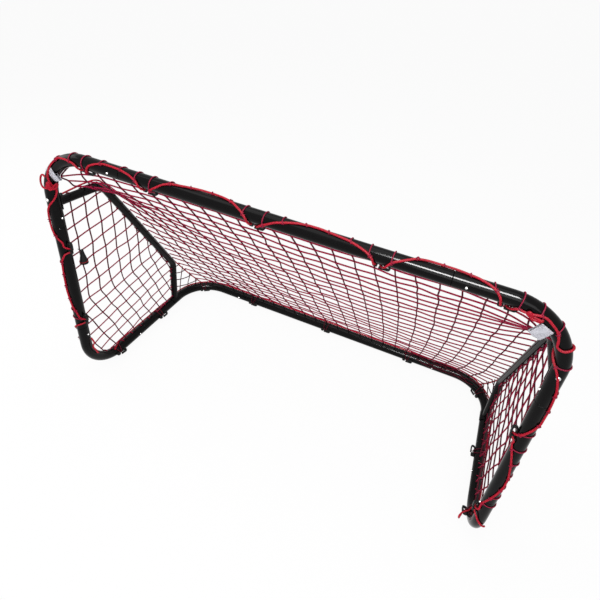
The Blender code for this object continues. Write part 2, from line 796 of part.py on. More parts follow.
def back_net(mouth, ground, arms, look):
    """The large panel from the crossbar, over the arms, to the rear bar"""
    reach = TUBE_RADIUS + NET_GAP + STRAND_THICK / 5
    top_middle, low_middle = mouth.length / 2, ground.length / 2
    over = ARM_RADIUS + NET_GAP + STRAND_THICK

    def top(across):
        return mouth.around(top_middle + across * BACK_TOP_HALF, BACK_TOP_ANGLE, reach)

    def bottom(across):
        return ground.around(low_middle + across * BACK_LOW_HALF, BACK_LOW_ANGLE, reach)

    def rim(arm, across):
        elbow, shin, knee = arm.mark(1, 0.5), arm.mark(2, 0.15), arm.mark(2, 1)
        ends = [
            top(across),
            arm.around(elbow, 180, over + BACK_ELBOW_LIFT),
            arm.around(shin, 180, over + BACK_ELBOW_LIFT / 3),
            arm.around(knee, 180, over),
            bottom(across),
        ]
        points = [ends[0]]
        for one, two, count in zip(ends, ends[1:], BACK_RIM_ROWS):
            points += [one.lerp(two, (step + 1) / count) for step in range(count)]
        return points

    rims = {-1: rim(arms[0], -1), 1: rim(arms[1], 1)}

    def place(u, v):
        across = u * 2 - 1
        side = 1 if across > 0 else -1
        pull = math.cosh(BACK_SAG * across) / math.cosh(BACK_SAG)
        straight = top(side).lerp(bottom(side), v)
        bend = rims[side][round(v * BACK_ROWS)] - straight
        bend.x *= abs(across)
        return top(across).lerp(bottom(across), v) + bend * pull

    return net_sheet("back_net", place, BACK_COLUMNS, BACK_ROWS, look)


def side_net_place(ground, arm, mirrored):
    """The map from a unit square to one side panel, by its four edges"""
    gap = NET_GAP + STRAND_WIDTH / 10
    bend_middle = ground.mark(1, 0.5)
    foot = ground.mark(2, 0) + (FOOT_Y - FRONT_Y - CORNER_BEND) - ARM_RADIUS
    arm_end = arm.length - (ARM_SEAT - TUBE_RADIUS / 2 + gap)
    arm_start = ARM_SEAT + gap
    elbow = arm.mark(1, 0.5)

    def lower(distance, lift):
        spot = ground.length - distance if mirrored else distance
        return ground.around(spot, 90, TUBE_RADIUS + gap + lift)

    def left(v):
        start = ARM_RADIUS * 2
        return lower(bend_middle + (start - bend_middle) * v, 0)

    def bottom(u):
        return lower(bend_middle + (foot - bend_middle) * u, (BRACKET_OUTER - TUBE_RADIUS) * u)

    def under(distance):
        return arm.around(distance, 0, ARM_RADIUS + gap)

    def place(u, v):
        right, top = under(arm_end + (elbow - arm_end) * v), under(arm_start + (elbow - arm_start) * u)
        edges = bottom(u).lerp(top, v) + left(v).lerp(right, u)
        return edges - left(0).lerp(bottom(1), u).lerp(left(1).lerp(under(elbow), u), v)

    return place


def seam_cord(name, mouth_side, ground, arm, look):
    """The cord that ties the back net to a side arm and on to the rear corner"""
    reach = ARM_RADIUS + SEAM_CORD_RADIUS + NET_GAP
    lean = 180 - mouth_side * SEAM_CORD_LEAN
    marks = (ARM_SEAT + SEAM_CORD_START, arm.mark(1, 0), arm.mark(1, 1))
    turns = [(mark, lean, reach) for mark in marks]
    turns.append((arm.mark(2, 1), lean, reach + SEAM_CORD_KNEE_LIFT))
    points = laid(arm, turns)
    end_lie = 90 + SEAM_CORD_END_LEAN
    spot = ground.length / 2 + mouth_side * BACK_LOW_HALF
    points.append(ground.around(spot, end_lie, TUBE_RADIUS + SEAM_CORD_RADIUS + NET_GAP))
    return rope(name, points, SEAM_CORD_RADIUS, look)


def corner_tab(name, mouth, stretch, look):
    """A cloth tab that hangs from the rope and curls round the inside of a top corner"""
    point, heading, inward, face = mouth.at(mouth.mark(stretch, 0.5))
    bm = bmesh.new()
    bmesh.ops.create_grid(bm, x_segments=TAB_CELLS[0], y_segments=TAB_CELLS[1], size=0.5)
    flat_part = TAB_LENGTH * TAB_FLAT_SHARE
    for vert in bm.verts:
        across, down = vert.co.x * TAB_WIDTH, (vert.co.y + 0.5) * TAB_LENGTH
        curl = max(0, down - flat_part) / (TAB_LENGTH - flat_part)
        lift = TUBE_FLAT + GAP * 2 + TAB_THICK / 2 - TAB_CURL * curl**2
        fold = TAB_FOLD * curl * math.sin(math.tau * vert.co.x)
        vert.co = point + heading * across + inward * (down - TAB_START) + face * (lift + fold)
    tab = finish(name, bm, look)
    thick = tab.modifiers.new("Cloth thickness", "SOLIDIFY")
    thick.thickness = TAB_THICK
    thick.offset = 0
    return tab


def spare_clip(place, look):
    """The loose bell-shaped clip, hung by a stem from a strand of the left net"""
    anchor = place(SPARE_CLIP_ALONG, SPARE_CLIP_ROW / SIDE_ROWS)
    pivot = anchor + X * BELL_FROM_NET
    bm = bmesh.new()
    profile = (
        (0, -BELL_HEIGHT),
        (BELL_RADIUS * 0.9, -BELL_HEIGHT),
        (BELL_RADIUS, -BELL_HEIGHT * 0.93),
        (BELL_RADIUS * 0.72, -BELL_HEIGHT * 0.5),
        (BELL_RADIUS * 0.42, -BELL_HEIGHT * 0.1),
        (BELL_RADIUS * 0.36, BELL_STEM),
        (0, BELL_STEM * 1.4),
    )
    turned(bm, profile, ROUND_SIDES, Matrix.Translation(pivot))
    bell = finish("spare_net_clip", bm, look, pivot)
    stem = bmesh.new()
    near = anchor + X * (STRAND_THICK / 2 + NET_GAP)
    rod(stem, near, pivot, BELL_STEM / 2, 8)
    boolean(bell, cutter("spare_net_clip_stem", stem), "UNION")
    return bell


def main():
    for old in list(bpy.data.objects):
        bpy.data.objects.remove(old, do_unlink=True)
    steel = material("Black steel", (0.012, 0.012, 0.013), 0.35, 0.2)
    zinc = material("Zinc", (0.62, 0.62, 0.63), 0.3, 1.0)
    black = material("Black plastic", (0.02, 0.02, 0.021), 0.55)
    red = material("Red rope", (0.68, 0.01, 0.045), 0.75)
    twine = material("Dark red twine", (0.35, 0.01, 0.03), 0.8)
    cloth = material("Grey cloth", (0.72, 0.72, 0.73), 0.6)

    top, low = CROSSBAR_HEIGHT, BAR_Z
    post_foot = low + CORNER_BEND - ROPE_TAIL
    mouth = Route(
        [
            (-HALF_SPAN, FRONT_Y, post_foot),
            (-HALF_SPAN, FRONT_Y, top),
            (HALF_SPAN, FRONT_Y, top),
            (HALF_SPAN, FRONT_Y, post_foot),
        ],
        CORNER_BEND,
        X,
        BEND_STEPS,
    )
    ground = Route(
        [
            (-HALF_SPAN, FRONT_Y, ARM_FRONT_Z),
            (-HALF_SPAN, FRONT_Y, low),
            (-HALF_SPAN, REAR_Y, low),
            (HALF_SPAN, REAR_Y, low),
            (HALF_SPAN, FRONT_Y, low),
            (HALF_SPAN, FRONT_Y, ARM_FRONT_Z),
        ],
        CORNER_BEND,
        X,
        BEND_STEPS,
    )
    arms = []
    for x in (-HALF_SPAN, HALF_SPAN):
        corners = arm_corners(x)
        heading = (corners[1] - corners[0]).normalized()
        arms.append(Route(corners, ARM_BEND, heading.cross(X), ARM_BEND_STEPS))

    tubes = frame_tubes(steel)
    drill = bmesh.new()
    frame_buttons(zinc, drill)
    places = clip_places(mouth, ground)
    for name, route, distance, sign in places[0] + places[1]:
        net_clip(name, route, distance, sign, black, drill)
    drills = [cutter("Frame drill", drill)]
    for side, x in (("left", -HALF_SPAN), ("right", HALF_SPAN)):
        side_arm(side, x, steel)
        drills.append(arm_fixings(side, x, steel, zinc, black))
    for frame_tube in tubes:
        for tool in drills:
            boolean(frame_tube, tool)

    rope("mouth_rope", laid(mouth, rope_turns(places[0], MOUTH_LIE_ANGLE)), ROPE_RADIUS, red)
    foot = FOOT_Y - FRONT_Y - CORNER_BEND
    over = BRACKET_OUTER + ROPE_RADIUS + NET_GAP
    detours = []
    for spot in (ground.mark(2, 0) + foot, ground.mark(7, 0) - foot):
        half = FOOT_BRACKET_LENGTH / 2 + ROPE_RADIUS
        for away, reach in ((-half * 1.5, ROPE_LIE), (-half, over), (half, over), (half * 1.5, ROPE_LIE)):
            detours.append((spot + away, GROUND_LIE_ANGLE, reach))
    turns = rope_turns(places[1], GROUND_LIE_ANGLE, detours)
    rope("ground_rope", laid(ground, turns), ROPE_RADIUS, red)

    back_net(mouth, ground, arms, twine)
    for side, arm, mirrored in (("left", arms[0], False), ("right", arms[1], True)):
        place = side_net_place(ground, arm, mirrored)
        net_sheet(f"{side}_net", place, SIDE_COLUMNS, SIDE_ROWS, twine)
        if not mirrored:
            spare_clip(place, black)
        seam_cord(f"{side}_seam_cord", 1 if mirrored else -1, ground, arm, red)
        corner_tab(f"{side}_corner_tab", mouth, 3 if mirrored else 1, cloth)


main()
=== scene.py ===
# %% [markdown]
# # A knock-down sports goal with a laced red net
# This small goal is bent steel tube, powder-coated black. Its tubes plug into each other and snap
# on spring buttons. A red net hangs on a braided rope, and the rope runs through plastic hooks.
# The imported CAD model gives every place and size. This lesson builds the surfaces on top of it:
# smooth tubes with real seams, moulded hooks, and a net that is made strand by strand.

import math
import random

import bmesh
import bpy
from mathutils import Matrix, Vector


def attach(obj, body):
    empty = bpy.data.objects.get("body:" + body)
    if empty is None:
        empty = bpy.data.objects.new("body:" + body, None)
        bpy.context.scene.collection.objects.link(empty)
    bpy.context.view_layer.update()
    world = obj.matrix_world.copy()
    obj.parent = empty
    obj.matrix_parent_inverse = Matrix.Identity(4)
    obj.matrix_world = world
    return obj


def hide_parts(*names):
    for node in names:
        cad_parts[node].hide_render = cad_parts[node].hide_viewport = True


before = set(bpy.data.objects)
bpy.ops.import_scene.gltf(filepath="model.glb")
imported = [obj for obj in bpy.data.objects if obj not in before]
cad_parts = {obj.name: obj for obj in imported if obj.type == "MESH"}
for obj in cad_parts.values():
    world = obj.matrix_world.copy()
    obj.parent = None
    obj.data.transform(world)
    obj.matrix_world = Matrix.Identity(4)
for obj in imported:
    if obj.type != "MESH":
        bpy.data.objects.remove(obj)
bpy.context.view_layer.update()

# %% [markdown]
# ## Sizes
# These are the sizes that the CAD model was made with, in metres. The mouth faces -Y and the ground
# is z = 0. `SEEN` is the radius that the smooth tubes are drawn with: the CAD tube has sixteen
# flats, and a round tube that lies just outside them touches the ground and the hooks in the same
# places.

# %% The frame's sizes
SPAN, HEIGHT, DEPTH = 1.462, 0.931, 0.669
HALF, FRONT, REAR = SPAN / 2, -DEPTH / 2, DEPTH / 2
TUBE, WALL, CORNER = 0.019, 0.0015, 0.150
SEEN = 0.0188
LOW = TUBE * math.cos(math.pi / 16)
GAP = 0.0003
LEG_ACROSS, LEG_DOWN, LEG_UP, LEG_BACK = 0.281, 0.255, 0.236, 0.273
SPIGOT, SHOULDER = 0.050, 0.0015
ARM, ARM_WALL, ARM_CORNER = 0.014, 0.0012, 0.070
ARM_FRONT_Z = HEIGHT - 0.1756
FOOT_Y = REAR - 0.179
BRACKET = TUBE + GAP + 0.003
X, Y, Z = Vector((1, 0, 0)), Vector((0, 1, 0)), Vector((0, 0, 1))
SIDES = (("left", -1), ("right", 1))
print(f"goal {2 * (HALF + TUBE):.2f} m wide and {HEIGHT + TUBE:.2f} m high")

# %% [markdown]
# ## The centre line of a bent tube
# Every rope, hook and strand lies on a tube, so it helps to have the tubes as lines that can be
# walked along. A `BentLine` knows the point, the heading and the side that faces inwards at any
# distance. `around` then gives a point beside the tube, by its angle from the inner side.

# %% Walk along bent tubes
def bend_at(corner, heading, after, bend):
    """Where the bend at a corner starts, its turn, its axis and its centre"""
    turn = heading.angle(after)
    start = corner - heading * bend * math.tan(turn / 2)
    axis = heading.cross(after).normalized()
    return start, turn, axis, start + axis.cross(heading) * bend


class BentLine:
    """Straights and arcs in turn, with the side that faces inwards"""

    def __init__(self, corners, bend, inward):
        points = [Vector(corner) for corner in corners]
        headings = [(b - a).normalized() for a, b in zip(points, points[1:])]
        self.parts = []
        here, side = points[0], Vector(inward)
        for corner, heading, after in zip(points[1:], headings, headings[1:]):
            stop, turn, axis, centre = bend_at(corner, heading, after, bend)
            self.parts.append((here, heading, side, (stop - here).length, None, None))
            self.parts.append((stop, heading, side, bend * turn, axis, centre))
            spun = Matrix.Rotation(turn, 3, axis)
            here, side = centre + spun @ (stop - centre), spun @ side
        self.parts.append((here, headings[-1], side, (points[-1] - here).length, None, None))
        self.length = sum(part[3] for part in self.parts)

    def mark(self, index, share):
        """The distance at a share of one part"""
        return sum(part[3] for part in self.parts[:index]) + self.parts[index][3] * share

    def at(self, distance):
        """Point, heading, inner side and face side"""
        for part in self.parts:
            if distance <= part[3] or part is self.parts[-1]:
                break
            distance -= part[3]
        start, heading, inward, _, axis, centre = part
        if axis is None:
            point = start + heading * distance
        else:
            spun = Matrix.Rotation(distance / (start - centre).length, 3, axis)
            point = centre + spun @ (start - centre)
            heading, inward = spun @ heading, spun @ inward
        return point, heading, inward, inward.cross(heading)

    def around(self, distance, degrees, reach):
        """A point beside the line, by its angle from the inner side and its reach"""
        point, _, inward, face = self.at(distance)
        angle = math.radians(degrees)
        return point + (inward * math.cos(angle) + face * math.sin(angle)) * reach


def arm_corners(x):
    """The corners of a net arm, from the upright to the ground bar"""
    return [
        Vector((x, FRONT, ARM_FRONT_Z)),
        Vector((x, FRONT + 0.181, HEIGHT - 0.188)),
        Vector((x, REAR - 0.171, 0.225)),
        Vector((x, FOOT_Y, LOW + TUBE / 2)),
    ]


def mirrored(points):
    """The points, and then the same points on the right in reverse order"""
    return points + [(-x, y, z) for x, y, z in reversed(points)]


POST_FOOT = LOW + CORNER - 0.040
mouth = BentLine(mirrored([(-HALF, FRONT, POST_FOOT), (-HALF, FRONT, HEIGHT)]), CORNER, X)
left_half = [(-HALF, FRONT, ARM_FRONT_Z), (-HALF, FRONT, LOW), (-HALF, REAR, LOW)]
ground = BentLine(mirrored(left_half), CORNER, X)
arms = {}
for name, hand in SIDES:
    corners = arm_corners(hand * HALF)
    arms[hand] = BentLine(corners, ARM_CORNER, (corners[1] - corners[0]).normalized().cross(X))
print(f"mouth {mouth.length:.3f} m, ground frame {ground.length:.3f} m, arm {arms[1].length:.3f} m")

# %% [markdown]
# ## The camera
# The photograph was taken by a standing person in front of the goal, a little to the right of its
# middle, and the camera was tipped down and rolled. Eight points of the frame gave its place, its
# turn and its lens. The small shift says that the picture was cropped.

# %% Set up the camera
AZIMUTH, ELEVATION, ROLL = -0.2891915, -0.5617350, 0.1481884
LENS, SHIFT, EYE = 28.004, (-0.0683, -0.0982), (0.4459, -1.2227, 1.5197)


def placed(name, data):
    """Makes an object of some data, at the origin, and links it to the scene"""
    made = bpy.data.objects.new(name, data)
    bpy.context.collection.objects.link(made)
    return made


flat = math.cos(ELEVATION)
forward = Vector((math.sin(AZIMUTH) * flat, math.cos(AZIMUTH) * flat, math.sin(ELEVATION)))
level = Vector((math.cos(AZIMUTH), -math.sin(AZIMUTH), 0))
right_side = Matrix.Rotation(ROLL, 3, -forward) @ level
camera_data = bpy.data.cameras.new("Camera")
camera_data.sensor_width, camera_data.lens = 36, LENS
camera_data.shift_x, camera_data.shift_y = SHIFT
camera = placed("Camera", camera_data)
turn = Matrix((right_side, right_side.cross(forward), -forward)).transposed()
camera.matrix_world = Matrix.Translation(EYE) @ turn.to_4x4()
bpy.context.scene.camera = camera
print("camera up:", [round(value, 4) for value in right_side.cross(forward)])

# %% [markdown]
# ## Lamps
# Three wide lamps make soft studio light, as large softboxes do. A fourth lamp is seen only in
# reflections. It gives the sharp streak that the photograph shows on the right half of the
# crossbar, and it leaves the rest of the light as it is.

# %% Set up the lamps
# Each lamp: name, place, aim, size and watts
LAMPS = (
    ("Overhead softbox", (-0.3, -0.4, 3.4), (0, 0, 0.3), (3.2, 2.6), 54),
    ("Front softbox", (1.2, -3.2, 2.2), (0, 0, 0.4), (2.4, 1.6), 52),
    ("Left softbox", (-3.0, -0.6, 1.8), (0, 0, 0.4), (1.8, 1.6), 22),
    ("Strip lamp", (0.55, -1.45, 2.40), (0.50, -0.33, 0.93), (0.95, 0.50), 215),
)
for name, place, aim, size, watts in LAMPS:
    data = bpy.data.lights.new(name, "AREA")
    data.shape, data.energy = "RECTANGLE", watts
    data.size, data.size_y = size
    made = placed(name, data)
    made.location = place
    made.rotation_euler = (Vector(aim) - Vector(place)).to_track_quat("-Z", "Y").to_euler()
    made.visible_diffuse = name != "Strip lamp"
print("lamps:", len(LAMPS))

# %% [markdown]
# ## World and floor
# The goal stands on plain white in the photograph. Both the world and the floor look nearly white
# to the camera and to a mirror, but they send less light than that to the goal, so black tubes
# stay black. A node that tells the kinds of rays apart makes the choice. A very large floor has
# its edge so far away that no line shows behind the goal.

# %% Set up the world and the floor
def node(tree, kind, **values):
    """Adds a shader node and sets its plain values and sockets"""
    made = tree.nodes.new(kind)
    for key, value in values.items():
        if hasattr(made, key):
            setattr(made, key, value)
        else:
            made.inputs[key.replace("_", " ")].default_value = value
    return made


def wire(tree, *links):
    """Makes links, each given as node, output, node, input"""
    for source, output, goal, entry in links:
        tree.links.new(source.outputs[output], goal.inputs[entry])


def seen_white(tree):
    """A node that gives 1 for camera, glossy and transmission rays"""
    path = node(tree, "ShaderNodeLightPath")
    either, total = (node(tree, "ShaderNodeMath", operation="MAXIMUM") for _ in range(2))
    wire(
        tree,
        (path, "Is Camera Ray", either, 0),
        (path, "Is Glossy Ray", either, 1),
        (either, 0, total, 0),
        (path, "Is Transmission Ray", total, 1),
    )
    return total


def mesh_of(name, bm):
    """Turns a bmesh into a mesh and frees it"""
    mesh = bpy.data.meshes.new(name)
    bm.to_mesh(mesh)
    bm.free()
    return mesh


def material(name):
    """A new material, its node tree and its Principled shader"""
    made = bpy.data.materials.new(name)
    made.use_nodes = True
    return made, made.node_tree, made.node_tree.nodes["Principled BSDF"]


WORLD_SEEN, WORLD_LIGHT, FLOOR_GLOW, FLOOR_SIZE = 0.96, 0.42, 0.93, 90
world = bpy.data.worlds.new("Studio")
bpy.context.scene.world = world
world.use_nodes = True
tree = world.node_tree
white = node(tree, "ShaderNodeBackground", Color=(1, 1, 1, 1), Strength=WORLD_SEEN)
soft = node(tree, "ShaderNodeBackground", Color=(1, 1, 1, 1), Strength=WORLD_LIGHT)
choose = node(tree, "ShaderNodeMixShader")
wire(
    tree,
    (seen_white(tree), 0, choose, "Fac"),
    (soft, 0, choose, 1),
    (white, 0, choose, 2),
    (choose, 0, tree.nodes["World Output"], "Surface"),
)

bm = bmesh.new()
bmesh.ops.create_grid(bm, x_segments=1, y_segments=1, size=FLOOR_SIZE)
floor_mesh = mesh_of("Floor", bm)
floor = placed("Floor", floor_mesh)
paper, tree, shader = material("White paper floor")
shader.inputs["Roughness"].default_value = 0.9
shader.inputs["Specular IOR Level"].default_value = 0.1
speckle = node(tree, "ShaderNodeTexNoise", Scale=6.0, Detail=2.0)
tone = node(tree, "ShaderNodeMix", data_type="RGBA")
tone.inputs["A"].default_value = (0.90, 0.90, 0.90, 1)
tone.inputs["B"].default_value = (0.94, 0.94, 0.94, 1)
glow = node(tree, "ShaderNodeEmission", Color=(1, 1, 1, 1), Strength=1.0)
share = node(tree, "ShaderNodeMath", operation="MULTIPLY")
share.inputs[1].default_value = FLOOR_GLOW
both = node(tree, "ShaderNodeMixShader")
wire(
    tree,
    (speckle, "Fac", tone, "Factor"),
    (tone, "Result", shader, "Base Color"),
    (seen_white(tree), 0, share, 0),
    (share, 0, both, "Fac"),
    (shader, 0, both, 1),
    (glow, 0, both, 2),
    (both, 0, tree.nodes["Material Output"], "Surface"),
)
floor_mesh.materials.append(paper)
bpy.context.scene.view_settings.view_transform = "Standard"
print("floor:", [2 * FLOOR_SIZE] * 2, "m, glow", FLOOR_GLOW)

# %% [markdown]
# ## Finishes
# Two node groups do the work that more than one finish shares. `Tiny relief` is a fine noise that
# roughens a colour, a roughness and a height together, as paint, plastic and metal do. `Laid
# strands` draws the diagonal strands of a braid or a twine, and paints shade into the grooves
# between them. It follows the UV map that a curve leaves on its tube, where U is measured in metres
# along it and V goes once round it.

# %% Shared node groups
def group(name, inputs, outputs):
    """A node group with named sockets; inputs are (name, kind, value)"""
    made = bpy.data.node_groups.new(name, "ShaderNodeTree")
    for label, kind, value in inputs:
        made.interface.new_socket(label, in_out="INPUT", socket_type=kind).default_value = value
    for label, kind in outputs:
        made.interface.new_socket(label, in_out="OUTPUT", socket_type=kind)
    return made, made.nodes.new("NodeGroupInput"), made.nodes.new("NodeGroupOutput")


COLOUR, NUMBER = "NodeSocketColor", "NodeSocketFloat"
relief, start, end = group(
    "Tiny relief",
    [
        ("Colour", COLOUR, (0.5, 0.5, 0.5, 1)),
        ("Worn colour", COLOUR, (0.6, 0.6, 0.6, 1)),
        ("Grain size", NUMBER, 900.0),
        ("Low roughness", NUMBER, 0.3),
        ("High roughness", NUMBER, 0.45),
    ],
    [("Colour", COLOUR), ("Roughness", NUMBER), ("Height", NUMBER)],
)
place = node(relief, "ShaderNodeTexCoord")
grain = node(relief, "ShaderNodeTexNoise", Detail=3.0, Roughness=0.6)
cloud = node(relief, "ShaderNodeTexNoise", Scale=9.0, Detail=4.0, Roughness=0.65)
spread = node(relief, "ShaderNodeMapRange", From_Min=0.35, From_Max=0.68)
blend = node(relief, "ShaderNodeMix", data_type="RGBA")
wire(
    relief,
    (place, "Object", grain, "Vector"),
    (place, "Object", cloud, "Vector"),
    (start, "Grain size", grain, "Scale"),
    (cloud, "Fac", spread, "Value"),
    (start, "Low roughness", spread, "To Min"),
    (start, "High roughness", spread, "To Max"),
    (cloud, "Fac", blend, "Factor"),
    (start, "Colour", blend, "A"),
    (start, "Worn colour", blend, "B"),
    (blend, "Result", end, "Colour"),
    (spread, "Result", end, "Roughness"),
    (grain, "Fac", end, "Height"),
)

strands, start, end = group(
    "Laid strands",
    [
        ("Colour", COLOUR, (0.6, 0.02, 0.05, 1)),
        ("Shade", COLOUR, (0.2, 0.0, 0.02, 1)),
        ("Turns per metre", NUMBER, 90.0),
        ("Strands round", NUMBER, 6.0),
    ],
    [("Colour", COLOUR), ("Height", NUMBER)],
)
place = node(strands, "ShaderNodeTexCoord")
apart = node(strands, "ShaderNodeSeparateXYZ")
along, around, crossed = (node(strands, "ShaderNodeMath", operation="MULTIPLY") for _ in range(3))
wire(
    strands,
    (place, "UV", apart, 0),
    (apart, "X", along, 0),
    (start, "Turns per metre", along, 1),
    (apart, "Y", around, 0),
    (start, "Strands round", around, 1),
)
for index, way in enumerate(("ADD", "SUBTRACT")):
    lean = node(strands, "ShaderNodeMath", operation=way)
    angle = node(strands, "ShaderNodeMath", operation="MULTIPLY")
    wave = node(strands, "ShaderNodeMath", operation="SINE")
    angle.inputs[1].default_value = math.tau
    wire(
        strands,
        (along, 0, lean, 0),
        (around, 0, lean, 1),
        (lean, 0, angle, 0),
        (angle, 0, wave, 0),
        (wave, 0, crossed, index),
    )
# Low parts of the pattern take the Shade colour: painted shade in the grooves between strands
height = node(strands, "ShaderNodeMapRange", From_Min=-1, From_Max=1)
fuzz = node(strands, "ShaderNodeTexNoise", Scale=1400.0, Detail=2.0)
rough = node(strands, "ShaderNodeMath", operation="MULTIPLY_ADD")
rough.inputs[1].default_value = 0.5
blend = node(strands, "ShaderNodeMix", data_type="RGBA")
wire(
    strands,
    (crossed, 0, height, "Value"),
    (place, "Object", fuzz, "Vector"),
    (fuzz, "Fac", rough, 0),
    (height, "Result", rough, 2),
    (height, "Result", blend, "Factor"),
    (start, "Shade", blend, "A"),
    (start, "Colour", blend, "B"),
    (blend, "Result", end, "Colour"),
    (rough, 0, end, "Height"),
)
print("groups:", relief.name, "and", strands.name)

# %% [markdown]
# ## Materials
# The powder coat is a glossy black with the slight orange peel of baked powder. The hooks are duller
# moulded plastic. The bolts and buttons are zinc-plated. The rope is bright red braid, and the net's
# twine is thinner and a darker red. A second copy of the twine is darker still: it is painted shade,
# for the strands that lie out of the light. The two tabs are pale satin cloth.

# %% Make the materials
def finish(name, shared, values, bump, distance, **plain):
    """A Principled material; a shared group gives its colour, roughness and bump"""
    made, tree, surface = material(name)
    source = node(tree, "ShaderNodeGroup", node_tree=shared)
    for socket, value in zip(source.inputs, values):
        socket.default_value = value
    lift = node(tree, "ShaderNodeBump", Strength=bump, Distance=distance)
    wire(
        tree,
        (source, "Height", lift, "Height"),
        (lift, "Normal", surface, "Normal"),
        (source, "Colour", surface, "Base Color"),
    )
    if "Roughness" in source.outputs:
        wire(tree, (source, "Roughness", surface, "Roughness"))
    for key, value in plain.items():
        surface.inputs[key.replace("_", " ")].default_value = value
    return made


# Of the relief: colour, worn colour, grain, low and high roughness
coat = ((0.0020, 0.0019, 0.0021, 1), (0.0042, 0.0038, 0.0041, 1), 420.0, 0.12, 0.17)
steel = finish("Black powder coat", relief, coat, 0.015, 0.0004, Specular_IOR_Level=0.085)
moulded = ((0.004, 0.004, 0.0042, 1), (0.008, 0.008, 0.008, 1), 1500.0, 0.40, 0.52)
plastic = finish("Black moulded plastic", relief, moulded, 0.2, 0.0002, Specular_IOR_Level=0.14)
plated = ((0.60, 0.60, 0.61, 1), (0.74, 0.73, 0.71, 1), 2400.0, 0.22, 0.38)
zinc = finish("Zinc plate", relief, plated, 0.15, 0.0001, Metallic=1.0)
# Of the strands: colour, painted shade in the grooves, turns per metre, strands round
braid = ((0.56, 0.0015, 0.026, 1), (0.30, 0.0005, 0.012, 1), 130.0, 4.0)
rope_red = finish(
    "Red braided rope", strands, braid, 0.6, 0.0006, Roughness=0.66, Specular_IOR_Level=0.14
)
# The twine as it looks where the light falls on it
lit_twine_colours = ((0.38, 0.003, 0.050, 1), (0.15, 0.001, 0.016, 1), 240.0, 3.0)
twine_red = finish(
    "Dark red twine", strands, lit_twine_colours, 0.5, 0.0003, Roughness=0.7, Specular_IOR_Level=0.12
)
# The same twine with painted shade, for strands that lie out of the light
painted_shade_twine_colours = ((0.120, 0.003, 0.018, 1), (0.035, 0.001, 0.005, 1), 240.0, 3.0)
twine_with_painted_shade = finish(
    "Shaded red twine", strands, painted_shade_twine_colours, 0.5, 0.0003, Roughness=0.75, Specular_IOR_Level=0.1
)
print("materials:", len(bpy.data.materials))

# %% [markdown]
# ## Turning a bmesh into a piece
# Each piece ends the same way: its normals are made to face outwards, it is shaded smooth except at
# real edges, it is hung on the CAD body that it rides on, and the CAD nodes that it stands for are
# hidden.

# %% Helpers for finished pieces
def settle(made, stands_for=(), body="frame"):
    """Hangs a piece on its CAD body and hides the CAD nodes that it replaces"""
    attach(made, body)
    if stands_for:
        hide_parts(*stands_for)
    return made


def piece(name, bm, look, stands_for=(), body="frame", sharp=38):
    """Makes an object of a bmesh, at the origin, and hangs it on a CAD body"""
    bmesh.ops.recalc_face_normals(bm, faces=bm.faces)
    mesh = mesh_of(name, bm)
    mesh.shade_smooth()
    mesh.set_sharp_from_angle(angle=math.radians(sharp))
    mesh.materials.append(look)
    return settle(placed(name, mesh), stands_for, body)


def facing(forward, upward=None):
    """The turn that takes Z to forward, with Y as near to upward as it goes"""
    upward = upward or (X if abs(forward.normalized().x) < 0.9 else Y)
    side = upward.cross(forward).normalized()
    return Matrix((side, forward.cross(side).normalized(), forward.normalized())).transposed().to_4x4()


def rod(bm, radius, depth, place, segments=32, far_radius=None):
    """A closed cylinder or cone about Z, moved to its place"""
    far_radius = radius if far_radius is None else far_radius
    bmesh.ops.create_cone(
        bm, cap_ends=True, segments=segments, radius1=radius, radius2=far_radius,
        depth=depth, matrix=place,
    )


def turned(bm, profile, place, steps=32):
    """Revolves (radius, height) points about Z and puts them in place; what is done is tagged"""
    verts = [bm.verts.new((radius, 0, height)) for radius, height in profile]
    edges = [bm.edges.new(pair) for pair in zip(verts, verts[1:])]
    bmesh.ops.spin(
        bm, geom=verts + edges, axis=Z, cent=(0, 0, 0), angle=math.tau, steps=steps, use_merge=True
    )
    bmesh.ops.remove_doubles(bm, verts=[vert for vert in bm.verts if not vert.tag], dist=0.000005)
    fresh = [vert for vert in bm.verts if not vert.tag]
    bmesh.ops.transform(bm, matrix=place, verts=fresh)
    for vert in fresh:
        vert.tag = True


def soften(bm, width, least=40):
    """Bevels every edge that is sharper than least degrees"""
    bm.normal_update()
    sharp = [
        edge
        for edge in bm.edges
        if len(edge.link_faces) == 2 and edge.calc_face_angle() > math.radians(least)
    ]
    bmesh.ops.bevel(
        bm, geom=sharp, offset=width, segments=2, profile=0.5, affect="EDGES",
        material=-1, clamp_overlap=True,
    )


def cutter(name, bm):
    """A hidden object of a bmesh, for Boolean cuts"""
    made = placed(name, mesh_of(name, bm))
    made.hide_render = made.hide_viewport = True
    return made


def cut(made, tool):
    """Cuts the tool out of a piece and evens out its shading"""
    boolean = made.modifiers.new(tool.name, "BOOLEAN")
    boolean.operation, boolean.solver, boolean.object = "DIFFERENCE", "EXACT", tool
    made.modifiers.new("Even shading", "WEIGHTED_NORMAL").keep_sharp = True

# %% [markdown]
# ## The tubes
# A tube starts as a flat ring between two circles. Extruding the ring gives a straight, and spinning
# it about the middle of a bend gives the bend. The straight tubes have swaged ends: a shoulder steps
# down to a thinner spigot that plugs into the next tube. The step shows as the fine seam line
# that the photograph has at both ends of the crossbar and halfway down each upright.

# %% Build the tubes
def start_ring(bm, centre, heading, radius, bore):
    """The flat ring that a tube grows from"""
    for rim in (radius, bore):
        bmesh.ops.create_circle(
            bm, segments=48, radius=rim, matrix=Matrix.Translation(centre) @ facing(heading)
        )
    return bmesh.ops.bridge_loops(bm, edges=bm.edges[:])["faces"]


def drop_inner(bm, faces):
    """Deletes faces that an extrusion or a spin has left inside the wall"""
    valid = [face for face in faces if face.is_valid]
    if any(len(edge.link_faces) > 2 for face in valid for edge in face.edges):
        bmesh.ops.delete(bm, geom=valid, context="FACES")


